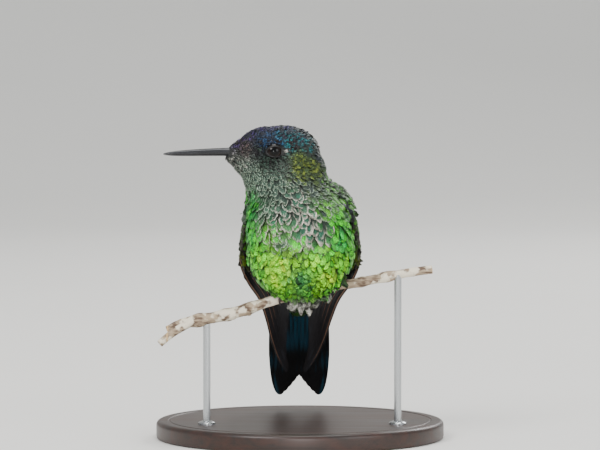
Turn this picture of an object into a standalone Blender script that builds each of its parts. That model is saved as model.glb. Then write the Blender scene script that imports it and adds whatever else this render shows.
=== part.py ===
"""A perched hummingbird, life size, on a cut twig that two slim rods hold over a round base.

Metres, +Z up. The origin is the centre of the base's underside. The bird's breast faces -Y, its head is
turned to its right, so that the bill points to -X, and its tail hangs down and back, to +Y.
"""

import math

import bmesh
import bpy
from mathutils import Matrix, Vector

MM = 0.001
SHARP = math.radians(40)  # edges with a greater angle are shaded sharp

# Driving sizes, in millimetres
GRIP = Vector((0.0, -10.0, 32.9))  # where the bird's own middle plane meets the twig's axis
HEAD_LENGTH = 16.6  # the feathered skull, front to back
HEAD_WIDTH = 12.8
HEAD_HEIGHT = 12.6
HEAD_TURN = 15.0  # degrees that the bill comes forward of pointing straight to -X
BILL_START = (11.7, 0.0, 0.5)  # where the bill leaves the face, ahead, left and up from the skull's middle
BILL_LENGTH = 15.2  # from there to its tip
BILL_ROOT = 2.6  # how far the bill goes on under the feathers
BILL_HEIGHT = (1.9, 1.14)  # at its root and just before its point
BILL_WIDTH = (2.1, 1.1)
BILL_DROOP = 0.40
BILL_POINT = 0.09  # the half thickness of the very tip
MOUTH_GAP = 0.06
EYE_DIAMETER = 4.2
TRUNK_WIDTH = 23.8
TRUNK_DEPTH = 21.6
TAIL_LENGTH = 42.0  # from the feathers' roots to the tips of the outer pair
TAIL_FORK = 5.0  # how much shorter the middle pair is
TAIL_HALF_WIDTH = 7.0
TAIL_LEAN = 40.0  # degrees of the tail back from the vertical
TAIL_ROOT = (-0.2, 9.0, 6.7)  # where its feathers root, from the grip
TAIL_BURIED = 9.6  # how much of them the body hides
TWIG_RADIUS = 1.05
TWIG_TAPER = 0.004  # how much thinner it gets with each millimetre to +X
TWIG_RINGS = 32
BRANCH_RADIUS = 0.8
TOE_RADIUS = 0.34
TOE_RINGS = 7
# The toes: the angles round the twig where each begins and ends, and how far it lies to the side
TOES = ((100, 255, -1.25), (100, 268, 0.0), (100, 255, 1.25), (80, -62, 0.1))
SOLE_HALF_SIZES = (0.95, 0.72, 0.50)
LEG_SPREAD = 3.4  # how far each leg stands from the bird's middle
TARSUS_RADIUS = 0.46
THIGH_RADIUS = 1.0
SOLE_TO_HEEL = (-0.3, 3.2, 3.0)
HEEL_TO_KNEE = (0.2, -2.2, 4.2)
BASE_RADIUS = 32.0
BASE_HEIGHT = 4.0
BASE_EDGE = 1.0  # the rounding of the rim
ROD_RADIUS = 0.8
SEAT_DEPTH = 2.6
SEAT_GAP = 0.15
ROD_PLACES = (-20.5, 21.5)  # along X, under the twig
BELLY_ROOM = 1.0  # the free space round the toes under the belly feathers
BODY_TRIANGLES = 2700  # of the feathered body, before it is parted
CUT = 0.25  # the thin gap between neighbouring solids
FINE_CUT = 0.12  # the same round the bill, eyes and feet

# The body's masses, as egg shapes: middle from the grip, half sizes, and lean back in degrees
TRUNK_MASSES = {
    "belly": ((0.2, 0.4, 9.4), (TRUNK_WIDTH / 2 + 0.4, TRUNK_DEPTH / 2 + 0.4, 12.0), 6),
    "breast": ((-0.5, -2.0, 14.8), (TRUNK_WIDTH / 2 + 0.1, 9.6, 10.0), 0),
    "mantle": ((0.8, 3.4, 16.0), (10.9, 7.9, 9.0), 0),
    "shoulder_left": ((7.2, 2.6, 18.6), (5.0, 5.8, 6.2), 0),
    "shoulder_right": ((-7.6, 2.6, 18.7), (5.2, 5.8, 6.0), 0),
    "back": ((0.2, 5.2, 12.0), (10.2, 7.8, 9.5), 22),
    "rump": ((0.0, 8.4, 6.2), (8.4, 5.8, 10.5), 36),
    "tail_coverts": ((-0.2, 14.2, 0.9), (6.4, 3.0, 11.2), TAIL_LEAN),
    "vent": ((-0.3, 7.6, 1.8), (6.4, 5.2, 6.0), 24),
    "neck": ((-3.2, 0.2, 23.4), (9.2, 8.0, 8.2), 0),
}
SKULL = Vector((-3.7, -0.5, 30.75))  # the middle of the head, from the grip
# The head's masses: middle from the skull's middle as ahead, left and up, and half sizes the same way
HEAD_MASSES = {
    "skull": ((0.0, 0.0, 0.0), (HEAD_LENGTH / 2, HEAD_WIDTH / 2, HEAD_HEIGHT / 2)),
    "forehead": ((3.6, 0.0, 1.7), (6.3, 4.9, 4.4)),
    "face": ((6.2, 0.0, 0.8), (5.6, 3.9, 3.7)),
    "lores": ((9.0, 0.0, 0.5), (4.6, 2.4, 2.2)),
    "chin": ((10.6, 0.0, -1.1), (3.4, 1.7, 1.4)),
    "cheek_left": ((0.8, 2.2, -2.6), (6.6, 4.0, 4.6)),
    "cheek_right": ((0.8, -2.2, -2.6), (6.6, 4.0, 4.6)),
    "upper_throat": ((5.2, 0.0, -2.6), (6.4, 3.9, 3.2)),
    "throat": ((2.6, 0.0, -6.0), (6.6, 5.6, 4.4)),
    "nape": ((-4.2, 0.0, -4.8), (5.6, 5.8, 6.4)),
}
EYE_PLACE = (3.3, 4.35, 0.6)  # ahead, to the side and up from the skull's middle
HEAD_CUT = ((0.0, 0.0, -5.4), 0.14)  # a point on the cut under the head, and how far the cut tips back
NECK_CUT = ((0.0, 0.0, 21.4), 0.28)  # a point on the cut over the trunk, from the grip, and its tip forward

# Where the wing's leading edge runs on the bird's left side, from the grip, and the way across its vane there
WING_EDGE = (
    (11.2, -0.2, 19.2),
    (12.7, 0.4, 15.8),
    (13.6, 2.2, 11.6),
    (13.7, 5.2, 6.6),
    (12.0, 8.6, 2.0),
    (9.2, 12.0, -2.2),
    (7.5, 16.2, -6.8),
    (6.2, 20.4, -11.6),
    (4.6, 24.6, -16.0),
    (2.5, 28.6, -20.0),
)
WING_ACROSS = (
    (-0.45, 0.86, 0.12),
    (-0.46, 0.86, 0.20),
    (-0.56, 0.76, 0.34),
    (-0.68, 0.62, 0.40),
    (-0.76, 0.48, 0.42),
    (-0.92, 0.26, 0.28),
    (-0.98, 0.08, 0.10),
    (-0.99, 0.04, 0.06),
    (-0.99, 0.06, 0.06),
    (-0.99, 0.06, 0.06),
)
ARM_END = 0.42  # share of the wing's length where its coverts end
ARM_THICKNESS = 2.6
WING_SWAY = -1.0  # how far both wing tips lie over to the bird's right
PRIMARIES = 7  # visible flight feathers, from the longest at the leading edge inwards
PRIMARY_STEP = 0.075  # share of the wing's length by which each next one is shorter
PRIMARY_WIDTH = 3.4
PRIMARY_SHIFT = 1.0  # how far in each one lies from the one before it
VANE_THICKNESS = 0.6

RECTRICES = 5  # tail feathers on each side
RECTRIX_WIDTH = 5.2
RECTRIX_FIRST = 0.9  # how far the middle of the first one is from the tail's middle
RECTRIX_SLOPE = 0.8  # how far the outer edges of the tail lie under its middle

# The twig's axis from end to end, from the grip
TWIG_LINE = (
    (-29.0, 0.9, -8.4),
    (-25.6, 0.5, -6.7),
    (-19.4, 0.0, -5.4),
    (-14.0, -0.1, -4.2),
    (-7.0, 0.0, -1.9),
    (0.0, 0.0, 0.0),
    (6.5, 0.0, 1.4),
    (12.4, 0.1, 2.3),
    (18.4, 0.2, 3.5),
    (24.4, 0.5, 4.6),
    (29.0, 0.9, 5.2),
)
TWIG_BRANCH = ((-23.0, 0.1, -5.9), (-26.2, -0.6, -7.6), (-28.8, -1.2, -9.3), (-30.8, -1.6, -11.0))
# Swellings on the twig: place along X, how much thicker, and how long each is
TWIG_KNOTS = (
    (-22.0, 0.42, 1.6),
    (-16.0, 0.34, 1.8),
    (-11.4, 0.30, 2.0),
    (13.6, 0.22, 1.2),
    (19.0, 0.30, 1.4),
)

# Colour, roughness and metallic value of each material
FINISHES = {
    "plumage_green": ((0.10, 0.42, 0.04), 0.40, 0.3),
    "plumage_violet": ((0.03, 0.03, 0.12), 0.40, 0.3),
    "plumage_grey_green": ((0.16, 0.24, 0.17), 0.60, 0.0),
    "wing_coverts": ((0.08, 0.30, 0.05), 0.50, 0.2),
    "flight_vane": ((0.016, 0.020, 0.024), 0.45, 0.0),
    "tail_vane": ((0.012, 0.016, 0.024), 0.35, 0.2),
    "bill_horn": ((0.018, 0.018, 0.020), 0.35, 0.0),
    "eye_gloss": ((0.006, 0.004, 0.003), 0.05, 0.0),
    "leg_skin": ((0.05, 0.04, 0.038), 0.60, 0.0),
    "bark": ((0.42, 0.36, 0.27), 0.85, 0.0),
    "stand_wood": ((0.045, 0.028, 0.018), 0.35, 0.0),
    "stand_steel": ((0.55, 0.54, 0.52), 0.25, 1.0),
}


# ---- general tools ----


def clear_scene():
    for obj in list(bpy.data.objects):
        bpy.data.objects.remove(obj)


def finish(name):
    """The named material, made where it is first asked for."""
    if name in bpy.data.materials:
        return bpy.data.materials[name]
    colour, roughness, metallic = FINISHES[name]
    material = bpy.data.materials.new(name)
    material.use_nodes = True
    shader = material.node_tree.nodes["Principled BSDF"]
    shader.inputs["Base Color"].default_value = (*colour, 1.0)
    shader.inputs["Roughness"].default_value = roughness
    shader.inputs["Metallic"].default_value = metallic
    return material


def solid(name, bm, material=None):
    """A bmesh in millimetres becomes a named object in metres."""
    bmesh.ops.recalc_face_normals(bm, faces=bm.faces)
    bmesh.ops.scale(bm, vec=(MM, MM, MM), verts=bm.verts)
    mesh = bpy.data.meshes.new(name)
    bm.to_mesh(mesh)
    bm.free()
    obj = bpy.data.objects.new(name, mesh)
    bpy.context.scene.collection.objects.link(obj)
    if material:
        mesh.materials.append(material)
    mesh.shade_smooth()
    mesh.set_sharp_from_angle(angle=SHARP)
    return obj


def in_millimetres(mesh):
    bm = bmesh.new()
    bm.from_mesh(mesh)
    bmesh.ops.scale(bm, vec=(1 / MM,) * 3, verts=bm.verts)
    return bm


def bake(obj):
    """Applies the object's modifiers to its mesh."""
    graph = bpy.context.evaluated_depsgraph_get()
    mesh = bpy.data.meshes.new_from_object(obj.evaluated_get(graph))
    obj.modifiers.clear()
    obj.data = mesh
    return obj


def boolean(obj, other, operation):
    """Joins other to obj, or cuts it away, and removes other."""
    modifier = obj.modifiers.new(operation.lower(), "BOOLEAN")
    modifier.operation = operation
    modifier.object = other
    bpy.context.view_layer.update()
    bake(obj).data.set_sharp_from_angle(angle=SHARP)
    bpy.data.objects.remove(other)
    return obj


def smooth_line(points, count):
    """count points, evenly spaced by share, on a smooth curve through the given ones."""
    points = [Vector(p) for p in points]
    ends = [2 * points[0] - points[1], *points, 2 * points[-1] - points[-2]]
    line = []
    for i in range(count):
        place = i / (count - 1) * (len(points) - 1)
        k = min(int(place), len(points) - 2)
        t = place - k
        a, b, c, d = ends[k : k + 4]
        line.append(
            0.5 * (2 * b + (c - a) * t + (2 * a - 5 * b + 4 * c - d) * t**2 + (3 * b - a - 3 * c + d) * t**3)
        )
    return line


def on_line(points, share):
    """The point at a share of the smooth curve through the given points, and the way it runs there."""
    step = 0.002
    fine = 1001
    line = smooth_line(points, fine)
    at = line[round(share * (fine - 1))]
    before = line[max(0, round((share - step) * (fine - 1)))]
    after = line[min(fine - 1, round((share + step) * (fine - 1)))]
    return at, (after - before).normalized()


def tube(stations, segments=10):
    """A closed tube through oval rings. A station is a ring's middle and its two half axes."""
    bm = bmesh.new()
    last = None
    for middle, side, up in stations:
        normal = side.cross(up).normalized()
        place = Matrix((side, up, normal)).transposed().to_4x4()
        place.translation = middle
        ring = bmesh.ops.create_circle(bm, segments=segments, radius=1.0, matrix=place)["verts"]
        edges = list({e for v in ring for e in v.link_edges if e.other_vert(v) in ring})
        if last is None:
            bm.faces.new(ring)
        else:
            bmesh.ops.bridge_loops(bm, edges=last + edges)
        last = edges
    bm.faces.new(ring)
    return bm


def round_tube(line, radii, segments=10):
    """A tube of round rings along a line, with a radius at each point."""
    stations = []
    up = Vector((0, 0, 1))
    for i, point in enumerate(line):
        along = (line[min(i + 1, len(line) - 1)] - line[max(i - 1, 0)]).normalized()
        side = along.cross(up)
        side = side.normalized() if side.length > 0.1 else along.cross(Vector((0, 1, 0))).normalized()
        top = side.cross(along).normalized()
        stations.append((point, side * radii[i], top * radii[i]))
        up = top
    return tube(stations, segments)


def lengthened(stations, extra):
    """The stations of a tube, with its two end rings moved out."""
    ends = list(stations)
    for at, step in ((0, 1), (-1, -2)):
        run = (stations[at][0] - stations[step][0]).normalized()
        ends[at] = (stations[at][0] + run * extra, *stations[at][1:])
    return ends


def egg(bm, middle, half_sizes, lean=0.0, turn=0.0, rounds=20):
    """Adds an egg shape: lean tips its foot to +Y, turn is about the vertical, both in degrees."""
    place = (
        Matrix.Translation(middle)
        @ Matrix.Rotation(math.radians(turn), 4, "Z")
        @ Matrix.Rotation(math.radians(lean), 4, "X")
        @ Matrix.Diagonal((*half_sizes, 1.0))
    )
    bmesh.ops.create_uvsphere(bm, u_segments=2 * rounds, v_segments=rounds, radius=1.0, matrix=place)


# ---- the body, modelled whole and then parted ----


def head_axes():
    """Forward along the bill, to the bird's left, and up."""
    turn = math.radians(HEAD_TURN)
    forward = Vector((-math.cos(turn), -math.sin(turn), 0.0))
    left = Vector((0, 0, 1)).cross(forward).normalized()
    return forward, left, forward.cross(left)


def head_point(ahead, left, up):
    forward, sideways, upward = head_axes()
    return GRIP + SKULL + forward * ahead + sideways * left + upward * up


def fused(obj, voxel, rounds):
    """Makes one even skin of an object's overlapping shapes, and smooths it."""
    fuse = obj.modifiers.new("fuse", "REMESH")
    fuse.mode = "VOXEL"
    fuse.voxel_size = voxel * MM
    settle = obj.modifiers.new("settle", "SMOOTH")
    settle.factor = 0.5
    settle.iterations = rounds
    return bake(obj)


def body_whole():
    """All of the feathered body in one skin, at the feathers' outer surface."""
    bm = bmesh.new()
    for middle, half_sizes, lean in TRUNK_MASSES.values():
        egg(bm, GRIP + Vector(middle), half_sizes, lean=lean)
    trunk = fused(solid("trunk_whole", bm), 0.6, 80)
    bm = in_millimetres(trunk.data)
    bpy.data.objects.remove(trunk)
    for middle, half_sizes in HEAD_MASSES.values():
        egg(bm, head_point(*middle), half_sizes, turn=HEAD_TURN)
    body = fused(solid("body_whole", bm), 0.45, 22)
    thin_out = body.modifiers.new("thin_out", "DECIMATE")
    thin_out.ratio = BODY_TRIANGLES / (2 * len(body.data.polygons))
    return bake(body)


def sliced(body, name, planes, material):
    """The part of the body on the far side of each plane, which is a point and a normal."""
    bm = in_millimetres(body.data)
    for point, normal in planes:
        cut = bmesh.ops.bisect_plane(
            bm,
            geom=[*bm.verts, *bm.edges, *bm.faces],
            plane_co=point,
            plane_no=normal,
            clear_inner=True,
        )
        rim = [e for e in cut["geom_cut"] if isinstance(e, bmesh.types.BMEdge)]
        bmesh.ops.triangle_fill(bm, edges=rim, use_beauty=True)
    return solid(name, bm, material)


def above(point, normal, gap):
    """The plane on the upper side of a cut of that width."""
    return point + normal * gap / 2, normal


def below(point, normal, gap):
    return point - normal * gap / 2, -normal


def part_body():
    """Trunk, neck and head, parted by two thin cuts."""
    whole = body_whole()
    forward, _, up = head_axes()
    head_cut = (head_point(*HEAD_CUT[0]), (up + forward * HEAD_CUT[1]).normalized())
    neck_cut = (GRIP + Vector(NECK_CUT[0]), Vector((0.0, -NECK_CUT[1], 1.0)).normalized())
    head = sliced(whole, "head", [above(*head_cut, CUT)], finish("plumage_violet"))
    sliced(whole, "neck", [below(*head_cut, CUT), above(*neck_cut, CUT)], finish("plumage_grey_green"))
    trunk = sliced(whole, "trunk", [below(*neck_cut, CUT)], finish("plumage_green"))
    bpy.data.objects.remove(whole)
    return head, trunk


# ---- bill and eyes ----


def bill_tube(grow=0.0):
    """The closed bill: nearly straight, a little decurved, and drawn to a point."""
    forward, left, up = head_axes()
    root = head_point(*BILL_START) - forward * BILL_ROOT
    length = BILL_LENGTH + BILL_ROOT
    rings = 11
    stations = []
    for i in range(rings):
        share = i / (rings - 1)
        taper = (1 - share**6) ** 0.5
        half_height = (BILL_HEIGHT[0] + (BILL_HEIGHT[1] - BILL_HEIGHT[0]) * share) / 2 * taper
        half_width = (BILL_WIDTH[0] + (BILL_WIDTH[1] - BILL_WIDTH[0]) * share) / 2 * taper
        middle = root + forward * share * length - up * BILL_DROOP * share**2.2
        across = left * (max(BILL_POINT, half_width) + grow)
        stations.append((middle, across, up * (max(BILL_POINT, half_height) + grow)))
    return tube(lengthened(stations, grow), 10)


def make_bill(head):
    """Upper and lower halves, parted along the line of the mouth, in a socket in the face."""
    forward, _, up = head_axes()
    mouth_up = (up + forward * BILL_DROOP / BILL_LENGTH).normalized()
    mouth = head_point(*BILL_START) + forward * BILL_LENGTH / 2 - up * BILL_DROOP / 3
    boolean(head, solid("bill_socket", bill_tube(FINE_CUT)), "DIFFERENCE")
    whole = solid("bill_whole", bill_tube())
    sliced(whole, "bill_upper", [above(mouth, mouth_up, MOUTH_GAP)], finish("bill_horn"))
    sliced(whole, "bill_lower", [below(mouth, mouth_up, MOUTH_GAP)], finish("bill_horn"))
    bpy.data.objects.remove(whole)


def ball(middle, radius):
    bm = bmesh.new()
    place = Matrix.Translation(middle) @ Matrix.Rotation(math.pi / 2, 4, "X")
    bmesh.ops.create_uvsphere(bm, u_segments=14, v_segments=8, radius=radius, matrix=place)
    return bm


def make_eyes(head):
    ahead, aside, up = EYE_PLACE
    for side, name in ((1, "left"), (-1, "right")):
        middle = head_point(ahead, side * aside, up)
        boolean(head, solid("eye_socket", ball(middle, EYE_DIAMETER / 2 + FINE_CUT)), "DIFFERENCE")
        solid(f"eye_{name}", ball(middle, EYE_DIAMETER / 2), finish("eye_gloss"))


# ---- wings ----


def wing_frame(side, share):
    """At a share of the wing's length: the leading edge, the way across the vane, and the outward normal."""
    edge, along = on_line(WING_EDGE, share)
    across, _ = on_line(WING_ACROSS, share)
    sway = Vector((WING_SWAY * share**3, 0, 0))
    across = (across - along * across.dot(along)).normalized()
    out = along.cross(across).normalized()
    mirror = Vector((side, 1, 1))
    return GRIP + edge * mirror + sway, across * mirror, out * mirror


def arm_tube(side, grow=0.0):
    """The shoulder and coverts: a thick leaf down the flank, thinner towards its end."""
    rings = 9
    widest = flight_width(ARM_END)
    stations = []
    for i in range(rings):
        place = i / (rings - 1)
        edge, across, out = wing_frame(side, ARM_END * place)
        swell = math.sin(math.pi / 2 * min(1.0, 0.12 + 1.3 * place)) ** 0.7
        width = widest * swell
        thick = VANE_THICKNESS + (ARM_THICKNESS - VANE_THICKNESS) * swell * (1 - place**2)
        middle = edge + across * width / 2 - out * thick / 4
        stations.append((middle, across * (width / 2 + grow), out * (thick / 2 + grow)))
    return tube(lengthened(stations, grow), 10)


def vane_end(share):
    """How full a feather is at a share of its length: parallel sides, then a rounded tip."""
    return max(0.0, 1 - share**6) ** 0.5


def flight_width(share):
    """How far the folded flight feathers reach in from the leading edge at a share of the wing's length."""
    along = (share - ARM_END) / (1 - ARM_END)
    widths = []
    for rank in range(PRIMARIES):
        end = 1.0 - PRIMARY_STEP * rank
        if share < end:
            full = vane_end((share - ARM_END) / (end - ARM_END))
            widths.append(PRIMARY_SHIFT * rank * (1 - 0.5 * along) + PRIMARY_WIDTH * (1 - 0.3 * along) * full)
    return max(widths, default=0.5)


def flight_tube(side, grow=0.0):
    """The folded flight feathers in one thin leaf, its inner edge stepped where each one ends."""
    rings = 20
    start = ARM_END + 0.012
    stations = []
    for i in range(rings):
        share = start + (0.995 - start) * i / (rings - 1)
        edge, across, out = wing_frame(side, share)
        half_width = flight_width(share) / 2
        middle = edge + across * half_width
        stations.append((middle, across * (half_width + grow), out * (VANE_THICKNESS / 2 + grow)))
    return tube(lengthened(stations, grow), 6)


def make_wing(side, name, trunk):
    """A folded wing in two solids: the covered arm, and the flight feathers."""
    boolean(trunk, solid("arm_room", arm_tube(side, CUT)), "DIFFERENCE")
    boolean(trunk, solid("flight_room", flight_tube(side, CUT)), "DIFFERENCE")
    solid(f"wing_{name}", arm_tube(side), finish("wing_coverts"))
    solid(f"wing_flight_{name}", flight_tube(side), finish("flight_vane"))


# ---- tail ----


def tail_edges(reach):
    """How far from the tail's middle its feathers begin and end on one side, at a reach along it."""
    outer = 0.0
    inner = TAIL_HALF_WIDTH
    for rank in range(RECTRICES):
        outward = rank / (RECTRICES - 1)
        length = TAIL_LENGTH - TAIL_FORK * (1 - outward) ** 1.2
        if reach >= length:
            continue
        spread = 0.60 + 0.40 * math.sin(min(1.0, reach / 16) * math.pi / 2)
        place = (RECTRIX_FIRST + (TAIL_HALF_WIDTH - RECTRIX_WIDTH / 2 - RECTRIX_FIRST) * outward) * spread
        half_width = RECTRIX_WIDTH / 2 * (0.72 + 0.28 * min(1.0, reach / 28)) * vane_end(reach / length)
        outer = max(outer, place + half_width)
        inner = min(inner, place - half_width)
    return inner, outer


def tail_tube(side, grow=0.0):
    """One side's tail feathers in one thin leaf, stepped where each one ends, and lower at its outer edge."""
    lean = math.radians(TAIL_LEAN)
    along = Vector((0, math.sin(lean), -math.cos(lean)))
    under = Vector((0, -math.cos(lean), -math.sin(lean)))
    root = GRIP + Vector(TAIL_ROOT)
    start = TAIL_BURIED + 0.1 * side
    rings = 18
    stations = []
    for i in range(rings):
        reach = start + (TAIL_LENGTH - 0.12 - start) * math.sin(i / (rings - 1) * math.pi / 2) ** 0.8
        inner, outer = tail_edges(reach)
        across = Vector((side, 0, 0)) + under * RECTRIX_SLOPE / TAIL_HALF_WIDTH
        middle = root + along * reach + across * (inner + outer) / 2
        half_width = (outer - inner) / 2 + grow
        stations.append((middle, across.normalized() * half_width, under * (VANE_THICKNESS / 2 + grow)))
    return tube(lengthened(stations, grow), 6)


def make_tail(trunk):
    """Ten overlapping feathers in one forked solid, rooted in the coverts."""
    for side in (-1, 1):
        boolean(trunk, solid("tail_room", tail_tube(side, CUT)), "DIFFERENCE")
    tail = solid("tail", tail_tube(-1), finish("tail_vane"))
    return boolean(tail, solid("tail_side", tail_tube(1)), "UNION")


# ---- perch, legs and feet ----


def twig_radius(x):
    """The twig's radius at a place along X, with its knots."""
    radius = TWIG_RADIUS - TWIG_TAPER * x
    for place, swell, length in TWIG_KNOTS:
        radius += swell * math.exp(-(((x - place) / length) ** 2))
    return radius


def twig_tube(grow=0.0):
    line = [GRIP + p for p in smooth_line(TWIG_LINE, TWIG_RINGS)]
    return round_tube(line, [twig_radius((p - GRIP).x) + grow for p in line], 10)


def make_perch():
    perch = solid("perch", twig_tube(), finish("bark"))
    side_line = [GRIP + p for p in smooth_line(TWIG_BRANCH, 10)]
    return boolean(perch, solid("side_branch", round_tube(side_line, [BRANCH_RADIUS] * 10, 8)), "UNION")


def grip_frame(x):
    """The twig's middle at a place along X and its axis, from end to end."""
    fine = 401
    line = [GRIP + p for p in smooth_line(TWIG_LINE, fine)]
    at = min(range(1, fine - 1), key=lambda i: abs(line[i].x - x))
    return line[at], (line[at + 1] - line[at - 1]).normalized()


def toe_line(middle, axis, start, end, shift, reach):
    """Points round the twig, from one angle to another. 0 is behind it, 90 on top and 180 in front."""
    back = Vector((0, 1, 0))
    up = axis.cross(back).normalized()
    line = []
    for i in range(TOE_RINGS):
        share = i / (TOE_RINGS - 1)
        angle = math.radians(start + (end - start) * share)
        spread = axis * shift * min(1.0, 0.3 + share)
        knuckle = 1 + 0.18 * math.sin(math.pi * min(1.0, share * 1.5))
        line.append(middle + spread + (back * math.cos(angle) + up * math.sin(angle)) * reach * knuckle)
    return line


def make_foot(name, middle, axis, reach, sole):
    """Three toes in front and one behind that close round the twig, each drawn out into a claw."""
    radii = [TOE_RADIUS * (1.0 - 0.55 * (i / (TOE_RINGS - 1)) ** 2) for i in range(TOE_RINGS)]
    bm = bmesh.new()
    egg(bm, sole, SOLE_HALF_SIZES, rounds=6)
    foot = solid(f"foot_{name}", bm, finish("leg_skin"))
    for start, end, shift in TOES:
        toe = round_tube(toe_line(middle, axis, start, end, shift, reach), radii, 6)
        boolean(foot, solid("toe", toe), "UNION")


def make_leg(side, name, trunk):
    """A short tarsus from the foot up into the belly."""
    middle, axis = grip_frame(LEG_SPREAD * side)
    reach = twig_radius((middle - GRIP).x) + FINE_CUT + TOE_RADIUS
    sole = middle + axis.cross(Vector((0, 1, 0))).normalized() * (reach + 0.16)
    make_foot(name, middle, axis, reach, sole)
    mirror = Vector((side, 1, 1))
    heel = sole + Vector(SOLE_TO_HEEL) * mirror
    knee = heel + Vector(HEEL_TO_KNEE) * mirror
    ankle = sole + (heel - sole).normalized() * (SOLE_HALF_SIZES[2] + 2 * FINE_CUT)
    count = 9
    line = smooth_line((ankle, heel, knee), count)
    radii = [TARSUS_RADIUS + (THIGH_RADIUS - TARSUS_RADIUS) * (i / (count - 1)) ** 2 for i in range(count)]
    room = [r + FINE_CUT for r in radii]
    longer = [line[0] - (line[1] - line[0]) * 0.5, *line[1:-1], line[-1] + Vector((0, 0, FINE_CUT))]
    boolean(trunk, solid("leg_room", round_tube(longer, room, 8)), "DIFFERENCE")
    solid(f"leg_{name}", round_tube(line, radii, 8), finish("leg_skin"))


def open_belly(trunk):
    """The room under the belly feathers through which the twig and the toes pass, open below."""
    line = [GRIP + p for p in smooth_line(TWIG_LINE, 9)]
    half_width = TWIG_RADIUS + 2 * TOE_RADIUS + BELLY_ROOM
    drop = Vector((0, 0, -2 * BELLY_ROOM))
    stations = [(p + drop, Vector((0, half_width, 0)), Vector((0, 0, half_width - drop.z))) for p in line]
    boolean(trunk, solid("belly_room", tube(stations, 12)), "DIFFERENCE")


# ---- display stand ----


def make_base():
    bm = bmesh.new()
    bmesh.ops.create_cone(
        bm,
        cap_ends=True,
        segments=40,
        radius1=BASE_RADIUS,
        radius2=BASE_RADIUS,
        depth=BASE_HEIGHT,
        matrix=Matrix.Translation((0, 0, BASE_HEIGHT / 2)),
    )
    rim = [e for e in bm.edges if all(v.co.z > BASE_HEIGHT / 2 for v in e.verts)]
    bmesh.ops.bevel(bm, geom=rim, offset=BASE_EDGE, segments=2, profile=0.5, affect="EDGES", material=-1)
    return solid("stand_base", bm, finish("stand_wood"))


def make_rod(name, x, base):
    """An upright rod in a blind hole in the base, its top shaped to the twig above it."""
    hole_foot = Vector((x, GRIP.y, BASE_HEIGHT - SEAT_DEPTH))
    foot = hole_foot + Vector((0, 0, SEAT_GAP))
    top = Vector((x, GRIP.y, grip_frame(x)[0].z))
    rod = solid(f"stand_rod_{name}", round_tube([foot, top], [ROD_RADIUS] * 2, 16), finish("stand_steel"))
    boolean(rod, solid("twig_room", twig_tube(FINE_CUT)), "DIFFERENCE")
    hole_top = Vector((x, GRIP.y, BASE_HEIGHT + 1))
    seat = solid("rod_seat", round_tube([hole_foot, hole_top], [ROD_RADIUS + SEAT_GAP] * 2, 16))
    boolean(base, seat, "DIFFERENCE")


def main():
    clear_scene()
    head, trunk = part_body()
    make_eyes(head)
    make_bill(head)
    open_belly(trunk)
    for side, name in ((1, "left"), (-1, "right")):
        make_wing(side, name, trunk)
        make_leg(side, name, trunk)
    make_tail(trunk)
    make_perch()
    base = make_base()
    for x, name in zip(ROD_PLACES, ("right", "left")):
        make_rod(name, x, base)


main()
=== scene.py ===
"""The looks of a perched hummingbird display model: its skin, feathers, eyes, bill, feet, twig and stand.

Lengths in the settings are metres. The modelling works in millimetres, and each finished piece is in metres.
"""

import functools
import itertools
import math

import bmesh
import bpy
import numpy as np
from bpy.props import FloatProperty, FloatVectorProperty, IntProperty, PointerProperty
from mathutils import Matrix, Vector, noise
from mathutils.bvhtree import BVHTree
from mathutils.geometry import barycentric_transform


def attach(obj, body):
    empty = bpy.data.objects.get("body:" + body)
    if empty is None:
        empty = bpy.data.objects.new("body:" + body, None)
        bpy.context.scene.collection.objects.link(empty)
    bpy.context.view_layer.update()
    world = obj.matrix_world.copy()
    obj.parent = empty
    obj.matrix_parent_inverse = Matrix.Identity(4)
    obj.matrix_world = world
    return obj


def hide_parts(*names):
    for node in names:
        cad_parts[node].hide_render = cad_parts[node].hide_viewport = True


bl_info = {
    "name": "Perched Hummingbird",
    "version": (1, 0, 0),
    "blender": (4, 5, 0),
    "location": "View3D > Sidebar > Hummingbird",
    "description": "Dresses the hummingbird display model with skin, feathers, eyes, bill, twig and stand",
    "category": "Add Mesh",
}

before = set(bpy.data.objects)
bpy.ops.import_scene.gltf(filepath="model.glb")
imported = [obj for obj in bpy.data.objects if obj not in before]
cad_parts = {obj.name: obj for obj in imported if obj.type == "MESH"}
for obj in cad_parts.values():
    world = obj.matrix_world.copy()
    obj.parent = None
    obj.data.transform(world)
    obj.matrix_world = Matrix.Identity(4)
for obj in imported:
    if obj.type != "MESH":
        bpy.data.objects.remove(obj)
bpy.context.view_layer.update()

MM = 0.001
UP = Vector((0, 0, 1))
SIDES = ((1, "left"), (-1, "right"))

# Where the solids put the bird. Sizes are millimetres and turns are degrees, if a line doesn't say otherwise.
# GRIP is the twig's middle line under the bird, and SKULL the skull's middle from there
GRIP = Vector((0.0, -10.0, 32.9))
SKULL = Vector((-3.7, -0.5, 30.75))
HEAD_TURN = 15.0
# Ahead, aside and up from the skull's middle
BILL_START = (11.7, 0.0, 0.5)
EYE_PLACE = (3.3, 4.35, 0.6)
TAIL_LEAN = 40.0
TAIL_ROOT = (-0.2, 9.0, 6.7)
LEG_SPREAD = 3.4
ROD_PLACES = (("right", -20.5), ("left", 21.5))
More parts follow.
